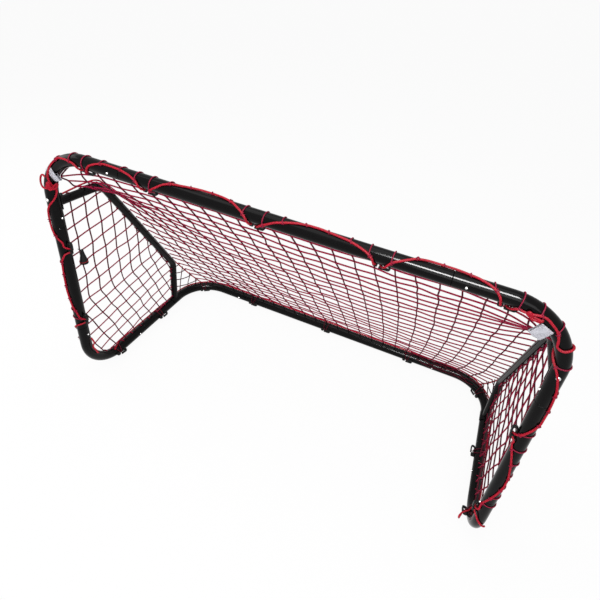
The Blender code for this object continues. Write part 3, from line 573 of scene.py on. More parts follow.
def pull(bm, ring, run, radius, bore):
    """Extrudes the ring straight on, to the given outer and inner radius"""
    grown = bmesh.ops.extrude_face_region(bm, geom=ring)["geom"]
    drop_inner(bm, ring)
    faces = [item for item in grown if isinstance(item, bmesh.types.BMFace)]
    verts = list({vert for face in faces for vert in face.verts})
    bmesh.ops.translate(bm, vec=run, verts=verts)
    centre = sum((vert.co for vert in verts), Vector()) / len(verts)
    middle = sum((vert.co - centre).length for vert in verts) / len(verts)
    for vert in verts:
        spoke = vert.co - centre
        vert.co = centre + spoke.normalized() * (radius if spoke.length > middle else bore)
    return faces


def bent_tube(corners, radius, bore, bend, spigots=(False, False), steps=22):
    """A bmesh of a hollow tube along its corners, with swaged ends where asked"""
    points = [Vector(corner) for corner in corners]
    headings = [(b - a).normalized() for a, b in zip(points, points[1:])]
    first, last = headings[0], headings[-1]
    thin, thin_bore = TUBE - WALL - GAP, TUBE - 2 * WALL - GAP
    bm = bmesh.new()
    here = points[0]
    if spigots[0]:
        ring = start_ring(bm, here - first * SPIGOT, first, thin, thin_bore)
        ring = pull(bm, ring, first * (SPIGOT + GAP), thin, thin_bore)
        ring = pull(bm, ring, first * SHOULDER, radius, bore)
        here = here + first * (GAP + SHOULDER)
    else:
        ring = start_ring(bm, here, first, radius, bore)
    for corner, heading, after in zip(points[1:], headings, headings[1:]):
        stop, turn, axis, centre = bend_at(corner, heading, after, bend)
        ring = pull(bm, ring, stop - here, radius, bore)
        spun = bmesh.ops.spin(bm, geom=ring, cent=centre, axis=axis, angle=turn, steps=steps)
        drop_inner(bm, ring)
        ring = [item for item in spun["geom_last"] if isinstance(item, bmesh.types.BMFace)]
        here = centre + Matrix.Rotation(turn, 3, axis) @ (stop - centre)
    if spigots[1]:
        ring = pull(bm, ring, points[-1] - last * (GAP + SHOULDER) - here, radius, bore)
        ring = pull(bm, ring, last * SHOULDER, thin, thin_bore)
        pull(bm, ring, last * (SPIGOT + GAP), thin, thin_bore)
    else:
        pull(bm, ring, points[-1] - here, radius, bore)
    soften(bm, 0.0005)
    return bm


seam_x, seam_back = HALF - LEG_ACROSS, FRONT + LEG_BACK
seam_top, seam_low = HEIGHT - LEG_DOWN, LOW + LEG_UP
tubes = {
    "crossbar": ([(-seam_x, FRONT, HEIGHT), (seam_x, FRONT, HEIGHT)], (True, True)),
    "rear_bar": ([(-seam_x, REAR, LOW), (seam_x, REAR, LOW)], (True, True)),
}
for name, hand in SIDES:
    x, inner = hand * HALF, hand * seam_x
    tubes[f"{name}_upright"] = ([(x, FRONT, seam_low), (x, FRONT, seam_top)], (True, True))
    top = [(x, FRONT, seam_top), (x, FRONT, HEIGHT), (inner, FRONT, HEIGHT)]
    tubes[f"top_{name}_corner"] = (top, (False, False))
    bottom = [(x, FRONT, seam_low), (x, FRONT, LOW), (x, seam_back, LOW)]
    tubes[f"bottom_{name}_corner"] = (bottom, (False, False))
    rear = [(x, seam_back, LOW), (x, REAR, LOW), (inner, REAR, LOW)]
    tubes[f"rear_{name}_corner"] = (rear, (True, False))
made_tubes = {}
for name, (corners, spigots) in tubes.items():
    bm = bent_tube(corners, SEEN, TUBE - WALL, CORNER, spigots)
    made_tubes[name] = piece(f"{name}_tube", bm, steel, [name])
print("tubes:", len(made_tubes))

# %% [markdown]
# ## The button holes
# Each seam has a drilled hole, and the sprung button stands in it. The holes are cut with one
# Boolean tool, so that the dark ring of clearance round each button is real and shows when the
# button is pressed.

# %% Drill the button holes and turn the buttons
BUTTON, PROUD, FROM_SEAM, CLEARANCE = 0.0032, 0.0035, 0.033, 0.0004
ROUNDING = ((1, 0.78), (0.93, 0.46), (0.74, 0.20), (0.42, 0.05), (0, 0))


def button_places(name, hand):
    """Name, axis point and outward side of the five buttons of one side"""
    x, across = hand * HALF, hand * (seam_x + FROM_SEAM)
    inner = -X * hand
    return [
        (f"{name}_crossbar_button", Vector((across, FRONT, HEIGHT)), -Y),
        (f"{name}_rear_button", Vector((across, REAR, LOW)), -Y),
        (f"{name}_upper_button", Vector((x, FRONT, seam_top + FROM_SEAM)), inner),
        (f"{name}_lower_button", Vector((x, FRONT, seam_low - FROM_SEAM)), inner),
        (f"{name}_ground_button", Vector((x, seam_back - FROM_SEAM, LOW)), inner),
    ]


holes = bmesh.new()
tip = TUBE + PROUD
pin = [(0, 0.0105), (BUTTON * 0.98, 0.0105), (BUTTON, 0.0120)]
pin += [(BUTTON * wide, tip - BUTTON * short) for wide, short in ROUNDING]
for name, hand in SIDES:
    for label, centre, outward in button_places(name, hand):
        spot = Matrix.Translation(centre) @ facing(outward)
        rod(holes, BUTTON + CLEARANCE, 0.018, spot @ Matrix.Translation((0, 0, 0.017)))
        bm = bmesh.new()
        turned(bm, pin, spot)
        piece(f"{label}_pin", bm, zinc, [label], f"{label}_body")
hole_tool = cutter("Button holes", holes)
for made in made_tubes.values():
    cut(made, hole_tool)
print("buttons: 10")

# %% [markdown]
# ## The net arms
# A thinner tube holds the net away from the mouth on each side. Its ends are coped, which means cut
# to fit round the tube that they stand on. A Boolean with a cylinder does the same here.

# %% Build the arms
SEAT = BRACKET + GAP
for name, hand in SIDES:
    x = hand * HALF
    bm = bent_tube(arm_corners(x), ARM, ARM - ARM_WALL, ARM_CORNER, steps=16)
    arm = piece(f"{name}_arm_tube", bm, steel, [f"{name}_arm"])
    bm = bmesh.new()
    for centre, heading in ((Vector((x, FRONT, ARM_FRONT_Z)), Z), (Vector((x, FOOT_Y, LOW)), Y)):
        rod(bm, SEAT, 0.08, Matrix.Translation(centre) @ facing(heading), 48)
    cut(arm, cutter(f"{name}_arm_coping", bm))
print("arms: 2")

# %% [markdown]
# ## Brackets, bolts, cap nuts and screws
# A curved plate sits between each arm and the tube that it stands on. A round-headed bolt with a
# hexagon socket goes through the upright and the plate into a black cap nut. Spinning a small
# rectangle about the tube's axis makes a plate that fits the tube exactly.

# %% Build the brackets and their fasteners
def saddle(name, centre, along, outward, length, spread, stands_for):
    """A plate curved round a tube, by spinning its cross-section"""
    bm = bmesh.new()
    first = Matrix.Rotation(-math.radians(spread / 2), 3, along) @ outward
    inside, outside = centre + first * (TUBE + GAP), centre + first * BRACKET
    half = along * length / 2
    corners = (inside - half, inside + half, outside + half, outside - half)
    face = bm.faces.new([bm.verts.new(point) for point in corners])
    bmesh.ops.spin(bm, geom=[face], cent=centre, axis=along, angle=math.radians(spread), steps=20)
    soften(bm, 0.0007)
    return piece(name, bm, steel, [stands_for])


# The head's (radius, height) as shares, from the socket's floor over the rim to the seat
HEAD = ((0, 0.35), (0.42, 0.35), (0.42, 0.94), (0.50, 1), (0.66, 0.97), (0.88, 0.70), (0.98, 0.40))
HEAD += ((1, 0.12), (0.98, 0))


def round_head(seat, outward, radius, height, shank, depth):
    """A low round head with a socket, and its shank"""
    bm = bmesh.new()
    profile = [(radius * wide, height * high) for wide, high in HEAD]
    profile += [(shank, 0), (shank, -depth), (0, -depth)]
    turned(bm, profile, Matrix.Translation(seat) @ facing(outward))
    return bm


def cap_nut(seat):
    """A hexagon nut with a domed cap, facing back"""
    place = Matrix.Translation(seat) @ facing(Y, Z)
    bm = bmesh.new()
    rod(bm, 0.0056, 0.0055, place @ Matrix.Translation((0, 0, 0.00325)), 6)
    soften(bm, 0.0005, 20)
    for vert in bm.verts:
        vert.tag = True
    dome = [(0, 0.0055), (0.0047, 0.0055), (0.0047, 0.0058), (0.0046, 0.0072), (0.0040, 0.0086)]
    dome += [(0.0028, 0.0096), (0.0014, 0.0100), (0, 0.0101)]
    turned(bm, dome, place)
    return bm


SCREW_LEAN = math.radians(67.5)
for name, hand in SIDES:
    x = hand * HALF
    high, foot = Vector((x, FRONT, ARM_FRONT_Z + 0.0015)), Vector((x, FOOT_Y, LOW))
    saddle(f"{name}_front_plate", high, Z, Y, 0.048, 110, f"{name}_front_bracket")
    saddle(f"{name}_foot_plate", foot, Y, Z, 0.050, 155, f"{name}_foot_bracket")
    axis = Vector((x, FRONT, ARM_FRONT_Z + 0.0186))
    bm = round_head(axis - Y * SEEN, -Y, 0.0056, 0.0034, 0.003, 0.045)
    piece(f"{name}_bolt", bm, zinc, [f"{name}_arm_bolt"])
    piece(f"{name}_nut", cap_nut(axis + Y * BRACKET), plastic, [f"{name}_cap_nut"])
    normal = Z * math.cos(SCREW_LEAN) + X * hand * math.sin(SCREW_LEAN)
    bm = round_head(foot + normal * BRACKET, normal, 0.0045, 0.0028, 0.0021, 0.010)
    piece(f"{name}_screw", bm, zinc, [f"{name}_foot_screw"])
print("brackets: 4, bolts: 2, nuts: 2, screws: 2")

# %% [markdown]
# ## The net clips
# A clip is a moulded hook. It has a block at one end and a round loop at the other, and a peg under
# it is pushed into the tube. Its side view is one closed outline. Extruding that outline gives the
# hook, and a small bevel gives it the soft edges of a moulding.

# %% Build the clips
CLIP_BASE, CLIP_BAR, THROAT, NECK, CLIP_WIDTH = 0.0034, 0.0042, 0.0078, 0.0200, 0.0088
BLOCK_END = 0.0168
PEG = [(0, -0.004), (0.0024, -0.004), (0.0025, 0), (0.0042, 0), (0.0042, 0.0016)]
PEG += [(0.0036, 0.0024), (0, 0.0024)]


def clip_outline():
    """Side view of the hook, as (along, away from the tube) points"""
    top = CLIP_BASE + THROAT + CLIP_BAR
    lip = top - CLIP_BAR
    turns = [math.radians(90 + 180 * step / 10) for step in range(11)]
    outer = [(-NECK + top / 2 * math.cos(a), top / 2 - top / 2 * math.sin(a)) for a in turns]
    middle = CLIP_BASE + THROAT / 2
    inner = [(-NECK + THROAT / 2 * math.cos(a), middle + THROAT / 2 * math.sin(a)) for a in turns]
    tip = [(0, top), (0.0008, top - 0.0004), (0.0012, top - 0.0011)]
    tip += [(0.0012, lip - 0.0008), (-0.0006, lip - 0.0007), (-0.0022, lip)]
    block = [(0.0040, CLIP_BASE), (0.0052, top - 0.0042), (0.0064, top - 0.0030)]
    block += [(0.0150, top - 0.0034), (BLOCK_END, top - 0.0058)]
    return [(BLOCK_END, 0), *outer, *tip, *inner, *block]


def hook(route, distance, sign):
    """The bmesh of one clip on its tube"""
    point, heading, inward, face = route.at(distance)
    along, seat = heading * sign, point + inward * (SEEN + 0.0001)
    bm = bmesh.new()
    side = face * CLIP_WIDTH / 2
    corners = [seat + along * a + inward * b - side for a, b in clip_outline()]
    outline = bm.faces.new([bm.verts.new(corner) for corner in corners])
    grown = bmesh.ops.extrude_face_region(bm, geom=[outline])["geom"]
    moved = [item for item in grown if isinstance(item, bmesh.types.BMVert)]
    bmesh.ops.translate(bm, vec=side * 2, verts=moved)
    soften(bm, 0.0006, 50)
    for vert in bm.verts:
        vert.tag = True
    turned(bm, PEG, Matrix.Translation(seat) @ facing(inward), 20)
    return bm


# Each clip: name, part of the route, share of that part, and which way along it the block points
clips = {
    mouth: [
        ("clip_left_post_1", 0, 0.255, -1),
        ("clip_left_post_2", 0, 0.714, -1),
        ("clip_crossbar_3", 2, 0.005, -1),
        ("clip_crossbar_4", 2, 0.184, -1),
        ("clip_crossbar_5", 2, 0.461, -1),
        ("clip_crossbar_6", 2, 0.7435, -1),
        ("clip_crossbar_7", 2, 0.9925, -1),
        ("clip_right_post_8", 4, 0.370, 1),
        ("clip_right_post_9", 4, 0.903, 1),
    ],
    ground: [
        ("clip_left_foot_1", 1, 0.872, -1),
        ("clip_left_side_2", 2, 0.607, -1),
        ("clip_rear_left_3", 3, 0.5833, -1),
        ("clip_rear_4", 4, 0.151, -1),
        ("clip_rear_5", 4, 0.4785, -1),
        ("clip_rear_6", 4, 0.816, -1),
        ("clip_rear_right_7", 5, 0.5833, 1),
        ("clip_right_side_8", 6, 0.547, 1),
        ("clip_right_foot_9", 7, 0.353, 1),
    ],
}
for route, spots in clips.items():
    clips[route] = [(label, route.mark(part, share), sign) for label, part, share, sign in spots]
    for label, distance, sign in clips[route]:
        piece(f"{label}_hook", hook(route, distance, sign), plastic, [label])
print("clips:", sum(len(spots) for spots in clips.values()))

# %% [markdown]
# ## Ropes and twine
# A rope is a curve with a round bevel. It becomes a mesh here, so that its UV map can be stretched
# until U counts metres along the rope, which is what the braid's pattern needs. Many short
# lengths of twine share one curve. A smooth path through a few points is enough to draw any of them.

# %% Helpers for cords
def smooth_path(points, step):
    """A Catmull-Rom curve through points, with a vertex about every step"""
    out = []
    padded = [points[0] * 2 - points[1], *points, points[-1] * 2 - points[-2]]
    for a, b, c, d in zip(padded, padded[1:], padded[2:], padded[3:]):
        count = max(1, round((c - b).length / step))
        for index in range(count):
            t = index / count
            straight, bowed = b * 2 + (c - a) * t, (a * 2 - b * 5 + c * 4 - d) * t**2
            out.append((straight + bowed + (b * 3 - a - c * 3 + d) * t**3) / 2)
    return out + [points[-1]]


def length_of(points):
    """How long a line of points is"""
    return sum((b - a).length for a, b in zip(points, points[1:]))


def cords(name, lines, radius, look, sides=1, stands_for=(), slot=None, extra=None, body="frame"):
    """One mesh of round cords along lines of points, with U in metres along each cord"""
    data = bpy.data.curves.new(name, "CURVE")
    data.dimensions = "3D"
    data.bevel_depth, data.bevel_resolution, data.use_fill_caps = radius, sides, True
    for line in lines:
        spline = data.splines.new("POLY")
        spline.points.add(len(line) - 1)
        for vertex, point in zip(spline.points, line):
            vertex.co = (*point, 1)
    curve = placed(name, data)
    shown = curve.evaluated_get(bpy.context.evaluated_depsgraph_get())
    mesh = bpy.data.meshes.new_from_object(shown)
    bpy.data.objects.remove(curve)
    bpy.data.curves.remove(data)
    longest = max(length_of(line) for line in lines)
    for item in mesh.uv_layers[0].data:
        item.uv[0] *= longest
    if extra:
        bm = bmesh.new()
        bm.from_mesh(mesh)
        extra(bm)
        bm.to_mesh(mesh)
        bm.free()
    mesh.name = name
    mesh.shade_smooth()
    mesh.materials.clear()
    mesh.materials.append(look)
    return settle(placed(name, mesh), stands_for, body)


# %% [markdown]
# ## A rope laced round a tube
# A border rope is a list of turns: how far along the tube, at which angle round it, and how far
# from its middle. One small table gives the way through every hook, and another gives the lies
# between the hooks. The rope eases from turn to turn, so a few numbers make its whole length.

# %% Helpers for a laced rope
ROPE, TWINE, STRAND = 0.0028, 0.0015, 0.0023
# The rope's way through a hook: along the tube, sideways, and away from the throat's middle
HOOK_PASS = (
    (-0.0150, 0.0155, -0.0085),
    (-0.0085, 0.0085, -0.0015),
    (-0.0030, 0.0000, 0.0000),
    (0.0010, -0.0076, 0.0005),
    (0.0060, -0.0080, -0.0010),
    (0.0092, -0.0070, -0.0030),
    (0.0112, 0.0160, -0.0085),
)
# How far the rope's middle is from the tube's: on the tube, and in a hook's throat
LIE, IN_HOOK = SEEN + ROPE + 0.0002, SEEN + CLIP_BASE + THROAT / 2
ROPE_STEP, DEGREE_STEP, EASING = 0.0025, 8, 3


def through_hook(route, distance, sign, turns):
    """(distance, degrees, reach) of the rope as it goes through one hook"""
    inner = [route.around(distance + half, 0, LIE) for half in (-NECK, NECK)]
    spread = sign * NECK * 2 / (inner[1] - inner[0]).length
    return sorted(
        (
            distance + spread * along,
            math.degrees(math.atan2(sideways, IN_HOOK + away)) + 360 * turns,
            math.hypot(sideways, IN_HOOK + away),
        )
        for along, sideways, away in HOOK_PASS
    )


def laced(route, hooks, lies, whole_turn_after):
    """All the turns of a border rope: its passes through the hooks, and its lies between them"""
    turns, taken = [], []
    for _, distance, sign in hooks:
        passed = through_hook(route, distance, sign, int(distance > whole_turn_after))
        turns += passed
        taken.append((passed[0][0] - 0.001, passed[-1][0] + 0.001))
    for lie in lies:
        if not any(low < lie[0] < high for low, high in taken):
            turns.append((*lie, LIE))
    return sorted(turns)


def lie_at(turns, distance):
    """The rope's angle and reach at a distance, eased between its turns"""
    if distance <= turns[0][0]:
        return turns[0][1:]
    for one, two in zip(turns, turns[1:]):
        if distance <= two[0]:
            t = (distance - one[0]) / max(two[0] - one[0], 1e-6)
            return tuple(a + (b - a) * t for a, b in zip(one[1:], two[1:]))
    return turns[-1][1:]


def rope_line(route, turns):
    """Points along a laced rope, with its corners rounded off a little"""
    start, length = turns[0][0], turns[-1][0] - turns[0][0]
    count = int(length / ROPE_STEP)
    spots = [start + length * index / count for index in range(count + 1)]
    dense = []
    for one, two in zip(spots, spots[1:]):
        a, b = lie_at(turns, one), lie_at(turns, two)
        pieces = max(1, round(abs(a[0] - b[0]) / DEGREE_STEP))
        for index in range(pieces):
            t = index / pieces
            degrees, reach = (low + (high - low) * t for low, high in zip(a, b))
            dense.append(route.around(one + (two - one) * t, degrees, reach))
    dense.append(route.around(spots[-1], *lie_at(turns, spots[-1])))
    for _ in range(EASING):
        eased = [(a + b * 2 + c) / 4 for a, b, c in zip(dense, dense[1:], dense[2:])]
        dense = [dense[0], *eased, dense[-1]]
    return dense


print(f"rope {ROPE * 2000:.1f} mm and net strands {STRAND * 2000:.1f} mm thick")

# %% [markdown]
# ## The border rope of the mouth
# Between two hooks the rope climbs over the front of the tube to its outer edge and comes back down.
# At each hook it dips into the throat and round the tip. `MOUTH_LIES` says how far round the tube
# the rope lies at each distance, in degrees from the inner side. At the right corner it makes a whole
# turn round the tube, so its angle goes past 360 there. The left corner has a bunched crossing,
# and a short loop of spare rope stands out from it.

# %% Lay the border rope of the mouth
MOUTH_LIES = (
    ((0.112, 165), (0.126, 140), (0.136, 116), (0.146, 86)),
    ((0.206, 56), (0.240, 86), (0.302, 108), (0.368, 98), (0.422, 84), (0.440, 62)),
    ((0.496, 40), (0.514, 76), (0.542, 112), (0.572, 128), (0.615, 98), (0.634, 68), (0.650, 30)),
    ((0.668, 8), (0.684, 2), (0.696, 14), (0.708, 40), (0.732, 76), (0.760, 100), (0.790, 118)),
    ((0.818, 134), (0.846, 112), (0.876, 84)),
    ((0.924, 102), (0.946, 132), (0.968, 150), (0.998, 150), (1.024, 146), (1.058, 128), (1.082, 100)),
    ((1.128, 76), (1.144, 104), (1.162, 138), (1.182, 160), (1.206, 170), (1.238, 186), (1.270, 203)),
    ((1.302, 203), (1.332, 188), (1.358, 170), (1.394, 122), (1.408, 84)),
    ((1.448, 66), (1.464, 90), (1.484, 118), (1.506, 136), (1.526, 152), (1.546, 165), (1.570, 175)),
    ((1.596, 176), (1.622, 169), (1.648, 161), (1.674, 153), (1.696, 138), (1.722, 116), (1.737, 84)),
    ((1.774, 76), (1.784, 108), (1.800, 128), (1.818, 154), (1.832, 178), (1.860, 204), (1.890, 207)),
    ((1.918, 204), (1.946, 188), (1.968, 178), (1.986, 164), (2.000, 150), (2.012, 134), (2.026, 96)),
    ((2.066, 62), (2.080, 58), (2.096, 74), (2.110, 98), (2.124, 112), (2.142, 108), (2.160, 106)),
    ((2.180, 88), (2.200, 60), (2.212, 80), (2.215, 132), (2.218, 182), (2.221, 232), (2.225, 285)),
    ((2.231, 335), (2.246, 368), (2.266, 412), (2.294, 448), (2.330, 478), (2.366, 492), (2.404, 502)),
    ((2.448, 498), (2.474, 460), (2.500, 424)),
    ((2.552, 384), (2.580, 420), (2.622, 450), (2.682, 480), (2.716, 480), (2.752, 458), (2.784, 434)),
    ((2.830, 396), (2.900, 424), (2.912, 456), (2.922, 484), (2.930, 510)),
)
mouth_turns = laced(mouth, clips[mouth], [lie for part in MOUTH_LIES for lie in part], 2.3)
mouth_points = rope_line(mouth, mouth_turns)
cords("mouth_rope_braid", [mouth_points], ROPE, rope_red, 3, ["mouth_rope"], "rope")
print(f"border rope of the mouth: {length_of(mouth_points):.2f} m")

# %% [markdown]
# ## The border rope of the ground frame
# On the side bars this rope lies on the outer side, and on the rear bar it lies just behind the top,
# so from the front it is only a thin red edge. It passes the foot of each net arm below the bracket's
# screw. Doubled loops of twine reach from it over the bar into the hooks; they lie in shade and are
# drawn in the twine with painted shade.

# %% Lay the border rope of the ground frame
foot = FOOT_Y - FRONT - CORNER
first, last = clips[ground][0][1], clips[ground][-1][1]
ground_turns = [(first - 0.020, 60, LIE), (first + 0.030, 120, LIE)]
for index, far in ((2, 160), (4, 127), (6, 160)):
    ground_turns += [(ground.mark(index, share), far, LIE) for share in (0.04, 0.3, 0.5, 0.75, 0.96)]
for spot in (ground.mark(2, 0) + foot, ground.mark(7, 0) - foot):
    ground_turns = [turn for turn in ground_turns if abs(turn[0] - spot) > 0.04]
    ground_turns += [(spot + away, 183, BRACKET + ROPE) for away in (-0.032, 0.032)]
ground_turns += [(ground.mark(3, 0.4), 138, LIE), (ground.mark(5, 0.6), 138, LIE)]
ground_turns += [(last - 0.030, 120, LIE), (last + 0.016, 40, LIE)]
ground_turns.sort()
ground_points = rope_line(ground, ground_turns)
cords("ground_rope_braid", [ground_points], ROPE, rope_red, 3, ["ground_rope"], "rope")
loops, near = [], SEEN + 0.0022
for _, distance, sign in clips[ground]:
    far, reach = lie_at(ground_turns, distance)
    for side in (-1, 1):
        spots = [
            (distance + side * 0.016, far, reach + ROPE),
            (distance + side * 0.013, far * 0.75 + 8, near),
            (distance + side * 0.010, far * 0.45 + 8, near),
            (distance + side * 0.007, 26, near),
            (distance + side * 0.004 - sign * 0.003, 7, IN_HOOK - 0.002),
            (distance - sign * 0.003, -2, IN_HOOK),
        ]
        loops.append(smooth_path([ground.around(*spot) for spot in spots], 0.004))
# The loops use the twine with painted shade
cords("ground_hook_loops", loops, 0.0016, twine_with_painted_shade, 1, slot="twine")
print(f"border rope of the ground frame: {length_of(ground_points):.2f} m")

# %% [markdown]
# ## Spare ends and the bunched crossings
# Somebody tied this net by hand, so there is spare rope: a thick bunch where the rope crosses the
# left corner, an open loop beside it, a smaller bunch at the right corner, and a curled end at each
# front foot. Each is a smooth curve through a few points on or beside its tube.

# %% Tie the spare ends
def beside(route, spots):
    """A smooth curve through (distance, degrees, reach) spots beside a route"""
    return smooth_path([route.around(*spot) for spot in spots], ROPE_STEP)


left_bunch, right_bunch = [], []
for step in range(15):
    degrees = 8 + 62 * (0.5 - 0.5 * math.cos(step * 0.9))
    left_bunch.append((0.705 + 0.014 * math.sin(step * 1.9), degrees, LIE + ROPE * (1 + step % 2)))
for step in range(12):
    degrees = 70 + 20 * math.sin(step * 2.3)
    right_bunch.append((2.104 + 0.018 * math.sin(step * 1.3), degrees, LIE + ROPE * (0.4 + step % 2)))
open_loop = [(0.694, 50, LIE), (0.690, 90, 0.024), (0.694, 118, 0.025), (0.706, 130, 0.027)]
open_loop += [(0.720, 131, 0.027), (0.730, 118, 0.025), (0.730, 96, 0.0230)]
left_end = [(0.556, 18, 0.0230), (0.575, 14, 0.032), (0.592, 2, 0.030), (0.610, 4, 0.038)]
left_end += [(0.632, 10, 0.032), (0.655, 24, 0.0235)]
right_end = [(last + 0.016, 40, LIE), (last + 0.026, 8, 0.034), (last + 0.022, -14, 0.042)]
right_end += [(last + 0.010, -30, 0.044), (last, -18, 0.034), (last - 0.008, 0, 0.028)]
tails = [beside(mouth, spots) for spots in (left_bunch, open_loop, right_bunch)]
tails += [beside(ground, spots) for spots in (left_end, right_end)]
cords("spare_rope_ends", tails, ROPE * 0.95, rope_red, 2, slot="rope")
print("spare ends, in metres:", [round(length_of(tail), 2) for tail in tails])

# %% [markdown]
# ## The net's panels
# The net is knotted from twine with a mesh of about 50 mm. For each panel a table of knots is
# made first. Strands then run through the knots on smooth curves, and a small lump sits where two
# strands cross. Each knot is shifted by a hair from a fixed random seed, because a hand-hung net is
# never even.

# %% Helpers for the net
chance, KNOT = random.Random(7), (0.0033, 0.0033, 0.0040, 1)


def shaken(point, amount):
    """The point, moved a little"""
    return point + Vector(chance.uniform(-amount, amount) for _ in range(3))


def add_knots(points):
    """A function that adds a small lump at each point to a bmesh"""

    def add(bm):
        for point in points:
            lean = Matrix.Rotation(chance.uniform(0, math.pi), 4, "X")
            place = Matrix.Translation(point) @ lean @ Matrix.Diagonal(KNOT)
            bmesh.ops.create_icosphere(bm, subdivisions=1, radius=1, matrix=place)

    return add


# %% [markdown]
# ## The back panel
# The back panel hangs from behind the crossbar, is gathered at both top corners, runs along the
# outside of the arms and ends on the rear bar. Its edge is given, and the inside finds its own shape:
# every knot is moved to the middle of its four neighbours, again and again, which is what equal pulls
# in four strands do. The level strands catch the light and the hanging ones lie in shade, so the
# hanging ones are drawn in the twine with painted shade, and the two are separate pieces.

# %% Make the back panel
TIES = (
    (0.804, 0.856, 0.902, 0.956, 1.020, 1.074, 1.120, 1.174, 1.232, 1.291, 1.350, 1.396, 1.452)
    + (1.502, 1.558, 1.616, 1.674, 1.726, 1.780, 1.830, 1.890, 1.950, 2.010, 2.066, 2.112, 2.164)
)
COLUMNS, ROWS, DROOP, SHAKE = len(TIES) - 1, 22, 0.012, 0.0022
REAR_MIDDLE, REAR_TIE, REAR_ANGLE = ground.length / 2, 0.690, 104
BEHIND, OVER_ARM = -45, ARM + TWINE + 0.003
knees = {hand: arm.mark(2, 1) + 0.015 for hand, arm in arms.items()}


def back_low(across):
    """Where the net meets the rear bar"""
    return ground.around(REAR_MIDDLE + across * REAR_TIE, REAR_ANGLE, SEEN + TWINE)


def edge_path(hand):
    """The side edge of the back panel: the gathered corner, the arm, then down to the rear corner"""
    arm, knee = arms[hand], knees[hand]
    gather, aside, start = (0.036, 0, 0.110) if hand > 0 else (0.024, 0.026, 0.085)
    top = mouth.around(TIES[-1] if hand > 0 else TIES[0], BEHIND, SEEN + TWINE)
    point, heading, inward, _ = mouth.at(mouth.mark(2 + hand, 0.5))
    tab_foot = point + inward * gather + Y * 0.008 - heading * aside
    along_arm = [arm.around(start + (knee - start) * step / 60, 180, OVER_ARM) for step in range(61)]
    bend = [top, tab_foot, tab_foot.lerp(along_arm[0], 0.5) + Y * 0.008, *along_arm, back_low(hand)]
    path = smooth_path(bend, 0.004)
    walked = [0.0]
    for one, two in zip(path, path[1:]):
        walked.append(walked[-1] + (two - one).length)
    out = []
    for row in range(ROWS + 1):
        goal = walked[-1] * (row / ROWS)
        out.append(next(spot for spot, far in zip(path, walked) if far >= goal - 1e-9))
    return out


def relaxed(table, rounds):
    """Moves every inner knot to the middle of its four neighbours"""
    for _ in range(rounds):
        for column in range(1, COLUMNS):
            left, here, right = table[column - 1 : column + 2]
            for row in range(1, ROWS):
                here[row] = (left[row] + right[row] + here[row - 1] + here[row + 1]) / 4
    return table


table = []
for column, spot in enumerate(TIES):
    top, low = mouth.around(spot, BEHIND, SEEN + TWINE), back_low(column / COLUMNS * 2 - 1)
    table.append([top.lerp(low, row / ROWS) for row in range(ROWS + 1)])
table[0], table[-1] = edge_path(-1), edge_path(1)
table = relaxed(table, 160)
for column in range(1, COLUMNS):
    for row in range(1, ROWS):
        droop = DROOP * math.sin(math.pi * row / ROWS) * math.sin(math.pi * column / COLUMNS)
        table[column][row] = shaken(table[column][row] + Vector((0, 0.35, -0.9)) * droop, SHAKE)
hanging = [smooth_path(line, 0.014) for line in table[1:-1]]
hanging += [smooth_path(line[:6], 0.008) for line in (table[0], table[-1])]
level_lines = [smooth_path([line[row] for line in table], 0.014) for row in range(1, ROWS)]
knots = [point for line in table[1:-1] for point in line[1:-1]]
back = (["back_net"], "twine")
cords("back_net_level_strands", level_lines, STRAND, twine_red, 1, *back, add_knots(knots))
# The hanging strands use the twine with painted shade
cords("back_net_hanging_strands", hanging, STRAND, twine_with_painted_shade, 1, *back)
print(f"back panel: {COLUMNS} by {ROWS} meshes, {len(knots)} knots")

# %% [markdown]
# ## The side panels
# Each side panel fills the space between the upright, the arm and the ground bar. Its upright strands
# hang straight down to about a third of the height and then lean back towards the foot of the arm,
# where the net was pulled tight. A strand that reaches an arm goes round its outside to the
# back panel.

# %% Make the side panels
SIDE_COLUMNS, SIDE_ROWS, RIGHT_SHIFT = range(-2, 9), range(-1, 17), 0.012
SIDE_START, SIDE_PITCH, LEAN_BELOW, LEAN = -0.2815, 0.0517, 0.345, 0.42
SIDE_TOP, SIDE_DROP, SIDE_RISE = 0.7527, 0.0507, 0.14


def side_column(index, z, shift):
    """How far back a hanging strand is at a height"""
    return SIDE_START + SIDE_PITCH * index + shift + LEAN * max(0.0, LEAN_BELOW - z)


def side_row(index, y, shift):
    """How high a level strand is at a depth"""
    return SIDE_TOP - SIDE_DROP * index + SIDE_RISE * (y + 0.28) + shift


def foot_spots(hand):
    """Distances at which the side panel is tied down to its ground bar"""
    spots = [ground.mark(2, 0) - 0.09 + SIDE_PITCH * step for step in range(9)]
    return spots if hand < 0 else [ground.length - spot for spot in spots]


